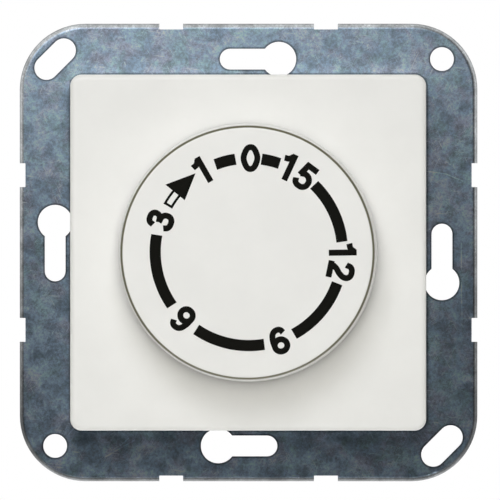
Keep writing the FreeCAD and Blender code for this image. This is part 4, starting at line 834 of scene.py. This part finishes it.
class StrokeTree:
    """A Geometry Nodes tree that lays a flat band along every curve it is given."""

    points_per_span: int = 10

    def __init__(self) -> None:
        """Build the tree."""
        tree = bpy.data.node_groups.new("printed_band", "GeometryNodeTree")
        self.tree = tree
        self.inputs = {
            name: tree.interface.new_socket(name, in_out="INPUT", socket_type=kind).identifier
            for name, kind in (
                ("Geometry", "NodeSocketGeometry"), ("Width", "NodeSocketFloat"),
                ("Thickness", "NodeSocketFloat"), ("Finish", "NodeSocketMaterial"))}
        tree.interface.new_socket("Geometry", in_out="OUTPUT", socket_type="NodeSocketGeometry")
        new, link = tree.nodes.new, tree.links.new
        given, result = new("NodeGroupInput"), new("NodeGroupOutput")
        upright = new("GeometryNodeSetCurveNormal")
        upright.mode = "Z_UP"
        profile = new("GeometryNodeCurvePrimitiveQuadrilateral")
        sweep, real = new("GeometryNodeCurveToMesh"), new("GeometryNodeRealizeInstances")
        paint = new("GeometryNodeSetMaterial")
        sweep.inputs["Fill Caps"].default_value = True
        link(given.outputs["Geometry"], upright.inputs["Curve"])
        link(given.outputs["Width"], profile.inputs["Width"])
        link(given.outputs["Thickness"], profile.inputs["Height"])
        link(upright.outputs["Curve"], sweep.inputs["Curve"])
        link(profile.outputs["Curve"], sweep.inputs["Profile Curve"])
        link(sweep.outputs["Mesh"], real.inputs["Geometry"])
        link(real.outputs["Geometry"], paint.inputs["Geometry"])
        link(given.outputs["Finish"], paint.inputs["Material"])
        link(paint.outputs["Geometry"], result.inputs["Geometry"])

    def lay(self, strokes: Sequence[Stroke], width: float, thickness: float,
            finish: bpy.types.Material) -> bpy.types.Mesh:
        """Turn strokes into a closed mesh in the XY plane.

        Args:
            strokes: The lines to follow.
            width: Width of the band.
            thickness: Its height above the plane, half of it below.
            finish: Its material.

        Returns:
            The mesh.
        """
        curve = bpy.data.curves.new("strokes", "CURVE")
        curve.dimensions = "3D"
        curve.resolution_u = self.points_per_span
        for stroke in strokes:
            handle = "VECTOR" if stroke.straight else "AUTO"
            spline = curve.splines.new("BEZIER")
            spline.bezier_points.add(len(stroke.points) - 1)
            for knot, point in zip(spline.bezier_points, stroke.points):
                knot.co = (*point, 0.0)
                knot.handle_left_type = knot.handle_right_type = handle
            spline.use_cyclic_u = stroke.closed
            if stroke.straight:
                spline.resolution_u = 1
        holder = bpy.data.objects.new("strokes", curve)
        bpy.context.scene.collection.objects.link(holder)
        modifier = holder.modifiers.new("band", "NODES")
        modifier.node_group = self.tree
        for name, value in (("Width", width), ("Thickness", thickness), ("Finish", finish)):
            modifier[self.inputs[name]] = value
        bpy.context.view_layer.update()
        graph = bpy.context.evaluated_depsgraph_get()
        mesh = bpy.data.meshes.new_from_object(holder.evaluated_get(graph))
        holder.modifiers.remove(modifier)
        bpy.data.objects.remove(holder)
        bpy.data.curves.remove(curve)
        return mesh


def from_top(radius: float, angle: float) -> Point2:
    """The point at a radius and a clockwise angle from the top, in degrees."""
    turn = math.radians(angle)
    return radius * math.sin(turn), radius * math.cos(turn)


def arc(radius: float, start: float, end: float, step: float = 4.0) -> Stroke:
    """A stroke along a circle.

    Args:
        radius: The circle's radius.
        start: Clockwise angle from the top, in degrees.
        end: Where it ends.
        step: About how far its points are apart, in degrees.

    Returns:
        The stroke.
    """
    count = max(2, round(abs(end - start) / step) + 1)
    angles = [start + (end - start) * n / (count - 1) for n in range(count)]
    return Stroke(tuple(from_top(radius, angle) for angle in angles))


def plate(outline: Sequence[Point2], thickness: float,
          finish: bpy.types.Material) -> bpy.types.Mesh:
    """A flat closed plate in the XY plane, half its thickness to each side.

    Args:
        outline: Its corners, anticlockwise.
        thickness: Its thickness.
        finish: Its material.

    Returns:
        The mesh.
    """
    made = bmesh.new()
    face = made.faces.new([made.verts.new((x, y, -thickness / 2)) for x, y in outline])
    grown = bmesh.ops.extrude_face_region(made, geom=[face])
    bmesh.ops.translate(made, vec=(0.0, 0.0, thickness),
                        verts=[v for v in grown["geom"] if isinstance(v, bmesh.types.BMVert)])
    bmesh.ops.recalc_face_normals(made, faces=made.faces)
    mesh = bpy.data.meshes.new("plate")
    made.to_mesh(mesh)
    made.free()
    mesh.materials.append(finish)
    return mesh


def onto_front(depth: float, across: float = 0.0, up: float = 0.0) -> Matrix:
    """Bring the XY plane onto a face that looks forwards, with Y upwards.

    Args:
        depth: The face's own Y.
        across: How far to the right of the knob's axis.
        up: How far above it.

    Returns:
        The matrix.
    """
    return (Matrix.Translation((across, depth, up))
            @ Matrix.Rotation(math.radians(90.0), 4, "X"))


def piece(name: str, meshes: Iterable[bpy.types.Mesh], body: Body) -> None:
    """Join meshes that are already in place into one object that rides on a body.

    Args:
        name: The piece's name.
        meshes: Closed meshes in the object's frame, all with one material.
        body: The body that carries it.
    """
    made = bmesh.new()
    finish = None
    for mesh in meshes:
        finish = mesh.materials[0] if mesh.materials else finish
        made.from_mesh(mesh)
        bpy.data.meshes.remove(mesh)
    for face in made.faces:
        face.material_index = 0
        face.smooth = False
    bmesh.ops.recalc_face_normals(made, faces=made.faces)
    joined = bpy.data.meshes.new(name)
    made.to_mesh(joined)
    made.free()
    joined.materials.append(finish)
    thing = bpy.data.objects.new(name, joined)
    bpy.context.scene.collection.objects.link(thing)
    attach(thing, body.value)
    LOG.info("piece %s: %d faces on %s", name, len(joined.polygons), body.value)


# --- The object --------------------------------------------------------------------------------


@dataclass
class Assembly:
    """A group of CAD nodes with the finish of each."""

    nodes: dict[str, Slot] = field(default_factory=dict)

    def dress(self, frame: dict[str, Any], shop: PaintShop) -> None:
        """Put each node's finish on it.

        Args:
            frame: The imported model.
            shop: Where the finishes come from.
        """
        for name, slot in self.nodes.items():
            shop.dress(frame["nodes"][name], slot)
        LOG.info("%s: %d CAD nodes dressed", type(self).__name__, len(self.nodes))


DIGIT_WIDTH = 0.7
DIGITS: dict[str, tuple[Stroke, ...]] = {
    "0": (Stroke(((0.35, 0.893), (0.56, 0.67), (0.56, 0.33), (0.35, 0.107), (0.14, 0.33),
                  (0.14, 0.67)), closed=True),),
    "1": (Stroke(((0.42, 0.0), (0.42, 1.0)), straight=True),
          Stroke(((0.1, 0.74), (0.27, 0.78), (0.38, 0.9)))),
    "2": (Stroke(((0.115, 0.65), (0.18, 0.835), (0.355, 0.893), (0.525, 0.835), (0.575, 0.68),
                  (0.48, 0.49), (0.28, 0.3), (0.17, 0.11))),
          Stroke(((0.06, 0.107), (0.66, 0.107)), straight=True)),
    "3": (Stroke(((0.12, 0.7), (0.19, 0.85), (0.35, 0.893), (0.5, 0.845), (0.55, 0.72),
                  (0.48, 0.585), (0.27, 0.535))),
          Stroke(((0.27, 0.535), (0.51, 0.47), (0.58, 0.31), (0.52, 0.16), (0.35, 0.107),
                  (0.18, 0.16), (0.11, 0.31)))),
    "5": (Stroke(((0.62, 0.893), (0.14, 0.893)), straight=True),
          Stroke(((0.222, 0.985), (0.15, 0.45)), straight=True),
          Stroke(((0.15, 0.51), (0.34, 0.58), (0.51, 0.51), (0.58, 0.335), (0.515, 0.165),
                  (0.345, 0.107), (0.18, 0.155), (0.11, 0.29)))),
    "6": (Stroke(((0.35, 0.54), (0.51, 0.475), (0.575, 0.325), (0.51, 0.17), (0.35, 0.107),
                  (0.19, 0.17), (0.125, 0.325), (0.19, 0.475)), closed=True),
          Stroke(((0.122, 0.33), (0.135, 0.62), (0.22, 0.825), (0.375, 0.893), (0.505, 0.855),
                  (0.565, 0.74)))),
}
DIGITS["9"] = tuple(
    Stroke(tuple((DIGIT_WIDTH - x, 1.0 - y) for x, y in stroke.points), stroke.straight,
           stroke.closed) for stroke in DIGITS["6"])


@dataclass(frozen=True)
class DialDigit:
    """A printed digit: the character and the clockwise angle of its middle from the top."""

    character: str
    angle: float


@dataclass
class TimerKnob(Assembly):
    """The knob and the minute ring that is printed on its face."""

    nodes: dict[str, Slot] = field(default_factory=lambda: {
        "knob": Slot.KNOB_PLASTIC,
        "knob_clip": Slot.SPRING_STEEL,
    })
    ink_thickness: float = 0.03 * MM
    ink_step: float = 0.25
    print_shift: Point2 = (0.21 * MM, 0.11 * MM)
    digit_height: float = 4.28 * MM
    digit_foot: float = 12.26 * MM
    digit_pen: float = 0.215
    band_radius: float = 14.36 * MM
    band_width: float = 1.72 * MM
    bands: tuple[tuple[float, float], ...] = (
        (-21.0, -8.2), (7.8, 19.2), (44.2, 83.8), (109.5, 151.2), (170.5, 214.2), (235.2, 280.5))
    digits: tuple[DialDigit, ...] = (
        DialDigit("0", 1.0), DialDigit("1", 24.8), DialDigit("5", 36.8), DialDigit("1", 89.2),
        DialDigit("2", 101.5), DialDigit("9", 161.0), DialDigit("6", 224.5), DialDigit("3", 289.7),
        DialDigit("1", 330.2))
    tail_start: float = 299.5
    tail_end: float = 310.0
    tail_wall: float = 0.38 * MM
    tail_inner: float = 13.5 * MM
    tail_outer: float = 15.05 * MM
    head_start: float = 308.9
    head_inner: float = 12.62 * MM
    head_outer: float = 16.45 * MM
    tip_angle: float = 325.9
    tip_radius: float = 14.58 * MM

    def print_dial(self, tree: StrokeTree, shop: PaintShop) -> None:
        """Print the digits, the bands between them and the arrow.

        Args:
            tree: The tree that lays the strokes.
            shop: Where the ink comes from.
        """
        onto_face = onto_front(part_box("knob")[0].y, *self.print_shift)
        for number, (start, end) in enumerate(self.bands):
            band = tree.lay([arc(self.band_radius, start, end)], self.band_width,
                            self.ink_thickness, shop.ink)
            band.transform(onto_face)
            piece(f"minute_band_{number}", [band], Body.KNOB_SPINDLE)
        for number, digit in enumerate(self.digits):
            place = (onto_face @ Matrix.Rotation(-math.radians(digit.angle), 4, "Z")
                     @ Matrix.Translation((0.0, self.digit_foot, 0.0))
                     @ Matrix.Scale(self.digit_height, 4)
                     @ Matrix.Translation((-DIGIT_WIDTH / 2, 0.0, 0.0)))
            strokes = self.inked(tree, shop, DIGITS[digit.character], self.digit_pen,
                                 self.digit_height)
            for mesh in strokes:
                mesh.transform(place)
            piece(f"minute_digit_{number}_{digit.character}", strokes, Body.KNOB_SPINDLE)
        piece("minute_arrow", self.arrow(tree, shop, onto_face), Body.KNOB_SPINDLE)

    def ink_height(self, layer: int) -> float:
        """The height of the ink's layer of that number, so that no two are level."""
        return self.ink_thickness * (1.0 + self.ink_step * layer)

    def inked(self, tree: StrokeTree, shop: PaintShop, strokes: Sequence[Stroke], pen: float,
              scale: float = 1.0) -> list[bpy.types.Mesh]:
        """Lay strokes that cross each other, each a little thicker than the one before it.

        Args:
            tree: The tree that lays the strokes.
            shop: Where the ink comes from.
            strokes: The strokes.
            pen: Their width.
            scale: How much they are enlarged afterwards.

        Returns:
            A mesh for each stroke.
        """
        return [tree.lay([stroke], pen, self.ink_height(number) / scale, shop.ink)
                for number, stroke in enumerate(strokes)]

    def arrow(self, tree: StrokeTree, shop: PaintShop, onto_face: Matrix) -> list[bpy.types.Mesh]:
        """Draw the arrow: an open tail that follows the ring, and a solid head.

        Args:
            tree: The tree that lays the strokes.
            shop: Where the ink comes from.
            onto_face: Brings the XY plane onto the knob's face.

        Returns:
            The meshes, in place.
        """
        half = self.tail_wall / 2
        end_angle = self.tail_start + math.degrees(half / self.band_radius)
        end_wall = Stroke((from_top(self.tail_inner, end_angle),
                           from_top(self.tail_outer, end_angle)), straight=True)
        walls = [arc(self.tail_inner + half, self.tail_start, self.tail_end),
                 arc(self.tail_outer - half, self.tail_start, self.tail_end), end_wall]
        head = [from_top(self.head_outer, self.head_start),
                from_top(self.tip_radius, self.tip_angle),
                from_top(self.head_inner, self.head_start)]
        meshes = self.inked(tree, shop, walls, self.tail_wall)
        meshes.append(plate(head, self.ink_height(len(walls)), shop.ink))
        for mesh in meshes:
            mesh.transform(onto_face)
        return meshes


@dataclass
class CoverPlate(Assembly):
    """The square cover, with a fine index line above the knob."""

    nodes: dict[str, Slot] = field(default_factory=lambda: {
        "cover_plate": Slot.COVER_PLASTIC,
        "cover_screws": Slot.SCREW_STEEL,
    })
    line_foot: float = 20.9 * MM
    line_head: float = 23.2 * MM
    line_width: float = 0.3 * MM
    line_height: float = 0.12 * MM

    def mark(self, tree: StrokeTree, shop: PaintShop) -> None:
        """Raise the index line on the cover's face.

        Args:
            tree: The tree that lays strokes.
            shop: Where the finish comes from.
        """
        line = Stroke(((0.0, self.line_foot), (0.0, self.line_head)), straight=True)
        mesh = tree.lay([line], self.line_width, self.line_height,
                        shop.material(Slot.COVER_PLASTIC))
        mesh.transform(onto_front(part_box("cover_plate")[0].y))
        piece("cover_index_line", [mesh], Body.INSERT)


@dataclass
class SupportFrame(Assembly):
    """The galvanised frame and the screws that hold the housing to it."""

    nodes: dict[str, Slot] = field(default_factory=lambda: {
        "support_frame": Slot.GALVANISED_STEEL,
        "frame_screws": Slot.SCREW_STEEL,
    })


@dataclass
class Housing(Assembly):
    """The moulded housings and their cover, the screws and the terminals."""

    nodes: dict[str, Slot] = field(default_factory=lambda: {
        "front_housing": Slot.HOUSING_PLASTIC,
        "rear_housing": Slot.HOUSING_PLASTIC,
        "back_cover": Slot.HOUSING_PLASTIC,
        "housing_screws": Slot.SCREW_STEEL,
        "movement_screws": Slot.SCREW_STEEL,
        "terminal_blocks": Slot.TERMINAL_BRASS,
        "terminal_screws": Slot.SCREW_STEEL,
        "insulating_plate": Slot.INSULATING_BOARD,
    })


@dataclass
class Clockwork(Assembly):
    """The mainspring, the train, the escapement and the plates that carry them."""

    nodes: dict[str, Slot] = field(default_factory=lambda: {
        "front_movement_plate": Slot.PLATE_BRASS,
        "rear_movement_plate": Slot.PLATE_BRASS,
        "spindle_bush": Slot.PLATE_BRASS,
        "main_wheel": Slot.WHEEL_BRASS,
        "second_wheel": Slot.WHEEL_BRASS,
        "third_wheel": Slot.WHEEL_BRASS,
        "escape_wheel": Slot.WHEEL_BRASS,
        "mainspring": Slot.SPRING_STEEL,
        "click_spring": Slot.SPRING_STEEL,
        "spindle_circlip": Slot.SPRING_STEEL,
        "pillar_screws": Slot.SCREW_STEEL,
        **dict.fromkeys(
            ("movement_pillars", "spindle", "spring_hub", "spring_post", "ratchet_wheel",
             "ratchet_click", "click_studs", "second_pinion", "third_pinion", "escape_pinion",
             "pallet_anchor", "anchor_arbor"), Slot.TURNED_STEEL),
    })


@dataclass
class SwitchGear(Assembly):
    """The cam, the stop and the contacts behind the clockwork."""

    nodes: dict[str, Slot] = field(default_factory=lambda: {
        "stop_arm": Slot.TURNED_STEEL,
        "stop_post": Slot.TURNED_STEEL,
        "switch_cam": Slot.CAM_PLASTIC,
        "left_contact_blade": Slot.CONTACT_BRONZE,
        "right_contact_blade": Slot.CONTACT_BRONZE,
        "left_fixed_contact": Slot.CONTACT_BRONZE,
        "right_fixed_contact": Slot.CONTACT_BRONZE,
        "moving_contact_tips": Slot.CONTACT_SILVER,
        "fixed_contact_tips": Slot.CONTACT_SILVER,
    })


# --- The studio --------------------------------------------------------------------------------


@dataclass(frozen=True)
class Lamp:
    """A soft rectangular lamp aimed at a point."""

    name: str
    place: Point3
    aim: Point3
    size: float
    power: float
    colour: Colour = WHITE
    in_gloss: bool = True
    on_matt: bool = True

    def light(self) -> None:
        """Hang the lamp, unseen by the camera, and by gloss or matt surfaces where it says so."""
        data = bpy.data.lights.new(self.name, "AREA")
        data.shape = "SQUARE"
        data.size = self.size
        data.energy = self.power
        data.color = self.colour
        lamp = bpy.data.objects.new(self.name, data)
        bpy.context.scene.collection.objects.link(lamp)
        lamp.location = self.place
        away = Vector(self.place) - Vector(self.aim)
        lamp.rotation_euler = away.to_track_quat("Z", "Y").to_euler()
        lamp.visible_camera = False
        lamp.visible_glossy = self.in_gloss
        lamp.visible_diffuse = self.on_matt


@dataclass
class Studio:
    """Floor, backdrop, light and camera."""

    floor_drop: float = 0.15
    floor_front: float = -0.2
    floor_half: float = 2.5
    backdrop_away: float = 2.4
    floor_colour: Colour = (0.85, 0.85, 0.85)
    floor_roughness: float = 0.9
    front_light: float = 0.03
    back_light: float = 0.8
    fill_colour: Colour = (1.0, 0.99, 0.9)
    plain_edge: tuple[float, float] = (-0.3, 0.1)
    front_gloss: float = 0.02
    gloss_edge: tuple[float, float] = (-0.8, -0.3)
    camera_away: float = 2.0
    camera_azimuth: float = 0.4
    camera_elevation: float = 0.05
    camera_clip: tuple[float, float] = (0.05, 50.0)
    view_width: float = 77.6 * MM
    view_middle: Point3 = (0.22 * MM, 0.0, 0.39 * MM)
    lamps: tuple[Lamp, ...] = (
        Lamp("key", (-0.03, -0.5, 0.19), (0.0, 0.0, 0.0), 0.2, 1.15, (0.96, 0.98, 1.0),
             in_gloss=False),
        Lamp("fill", (0.0, -1.8, 0.1), (0.0, 0.0, 0.0), 0.5, 14.2, (1.0, 0.993, 0.93),
             in_gloss=False),
        Lamp("sheen", (-0.1, -0.24, 0.2), (-0.1, 0.0, 0.2), 0.3, 0.35, on_matt=False),
        Lamp("table", (0.0, 0.14, -0.14), (0.0, 0.14, 0.0), 0.3, 0.6, on_matt=False),
        Lamp("skylight", (-0.1, -0.1, 0.8), (0.0, 0.0, 0.0), 0.6, 1.2, in_gloss=False),
    )

    def pale(self) -> bpy.types.Material:
        """A pale surface that is plain white to the camera, to gloss and through glass.

        Returns:
            The material.
        """
        wires = Wiring("pale_surface")
        tree = wires.tree
        wires.paint(Base_Color=self.floor_colour, Roughness=self.floor_roughness)
        glow, mix = tree.nodes.new("ShaderNodeEmission"), tree.nodes.new("ShaderNodeMixShader")
        rays = tree.nodes.new("ShaderNodeLightPath")
        seen = wires.scalar("MAXIMUM", rays.outputs["Is Camera Ray"], rays.outputs["Is Glossy Ray"])
        seen = wires.scalar("MAXIMUM", seen, rays.outputs["Is Transmission Ray"])
        output = next(node for node in tree.nodes if node.type == "OUTPUT_MATERIAL")
        wires.feed(mix, 0, seen)
        wires.feed(mix, 1, wires.shader.outputs["BSDF"])
        wires.feed(mix, 2, glow.outputs["Emission"])
        wires.feed(output, "Surface", mix.outputs["Shader"])
        return wires.material

    def stand(self) -> None:
        """Lay the floor and hang the backdrop."""
        pale = self.pale()
        half, low = self.floor_half, -self.floor_drop
        near, away = self.floor_front, self.backdrop_away
        for name, corners in (
            ("floor", [(-half, near, low), (half, near, low),
                       (half, away, low), (-half, away, low)]),
            ("backdrop", [(-half, away, low), (half, away, low),
                          (half, away, half), (-half, away, half)]),
        ):
            mesh = bpy.data.meshes.new(name)
            mesh.from_pydata(corners, [], [(0, 1, 2, 3)])
            mesh.materials.append(pale)
            thing = bpy.data.objects.new(name, mesh)
            bpy.context.scene.collection.objects.link(thing)

    def sky(self) -> None:
        """Light the object from the room, and show the camera white.

        The front of the room is dim, so that the walls of the knob show, and the back of the object
        is lit well. Gloss sees white behind and beside the object and the dark room in front of it,
        and glass sees white all round.
        """
        world = bpy.data.worlds.new("studio")
        bpy.context.scene.world = world
        world.use_nodes = True
        tree = world.node_tree
        tree.nodes.clear()
        new, link = tree.nodes.new, tree.links.new

        def background(colour: Colour, strength: float) -> bpy.types.Node:
            """Make a background.

            Args:
                colour: Its colour.
                strength: How bright it is.

            Returns:
                Its node.
            """
            node = new("ShaderNodeBackground")
            node.inputs["Color"].default_value = (*colour, 1.0)
            node.inputs["Strength"].default_value = strength
            return node

        def mix(share: bpy.types.NodeSocket, first: bpy.types.Node,
                second: bpy.types.Node) -> bpy.types.Node:
            """Go from one background to another.

            Args:
                share: 0 for the first, 1 for the second.
                first: A background, or a mix of two.
                second: A background, or a mix of two.

            Returns:
                The mix's node.
            """
            node = new("ShaderNodeMixShader")
            link(share, node.inputs[0])
            link(first.outputs[0], node.inputs[1])
            link(second.outputs[0], node.inputs[2])
            return node

        def towards(low: float, high: float) -> bpy.types.NodeSocket:
            """How far a direction's Y has come from one value to another.

            Args:
                low: Where the share is 0.
                high: Where it is 1.

            Returns:
                The share.
            """
            node = new("ShaderNodeMapRange")
            node.interpolation_type = "SMOOTHSTEP"
            link(parts.outputs["Y"], node.inputs[0])
            node.inputs[1].default_value, node.inputs[2].default_value = low, high
            return node.outputs["Result"]

        rays, parts = new("ShaderNodeLightPath"), new("ShaderNodeSeparateXYZ")
        link(new("ShaderNodeTexCoord").outputs["Generated"], parts.inputs["Vector"])
        white = background(WHITE, 1.0)
        plain = mix(towards(*self.plain_edge), background(self.fill_colour, self.front_light),
                    background(self.fill_colour, self.back_light))
        gloss = mix(towards(*self.gloss_edge), background(WHITE, self.front_gloss), white)
        seen = mix(rays.outputs["Is Glossy Ray"], plain, gloss)
        direct = new("ShaderNodeMath")
        direct.operation = "MAXIMUM"
        link(rays.outputs["Is Camera Ray"], direct.inputs[0])
        link(rays.outputs["Is Transmission Ray"], direct.inputs[1])
        link(mix(direct.outputs[0], seen, white).outputs[0],
             new("ShaderNodeOutputWorld").inputs["Surface"])

    def shoot(self) -> None:
        """Set the camera up at the photograph's angle."""
        data = bpy.data.cameras.new("camera")
        data.lens = data.sensor_width * self.camera_away / self.view_width
        data.clip_start, data.clip_end = self.camera_clip
        camera = bpy.data.objects.new("camera", data)
        bpy.context.scene.collection.objects.link(camera)
        azimuth, elevation = math.radians(self.camera_azimuth), math.radians(self.camera_elevation)
        away = Vector((math.sin(azimuth) * math.cos(elevation),
                       -math.cos(azimuth) * math.cos(elevation), math.sin(elevation)))
        camera.location = Vector(self.view_middle) + away * self.camera_away
        camera.rotation_euler = away.to_track_quat("Z", "Y").to_euler()
        bpy.context.scene.camera = camera

    def prepare(self) -> None:
        """Set everything up and keep the plain view settings."""
        self.stand()
        self.sky()
        for lamp in self.lamps:
            lamp.light()
        self.shoot()
        bpy.context.scene.view_settings.view_transform = "Standard"


def main() -> None:
    """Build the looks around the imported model."""
    logging.basicConfig(level=logging.INFO, format="%(name)s: %(message)s")
    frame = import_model()
    shop, tree = PaintShop(), StrokeTree()
    knob, cover = TimerKnob(), CoverPlate()
    for assembly in (knob, cover, SupportFrame(), Housing(), Clockwork(), SwitchGear()):
        assembly.dress(frame, shop)
    knob.print_dial(tree, shop)
    cover.mark(tree, shop)
    Studio().prepare()
    bare = [name for name, node in frame["nodes"].items()
            if not any(place.material in shop.made.values() for place in node.material_slots)]
    if bare:
        LOG.warning("no finish on %s", ", ".join(sorted(bare)))


if __name__ == "__main__":
    main()
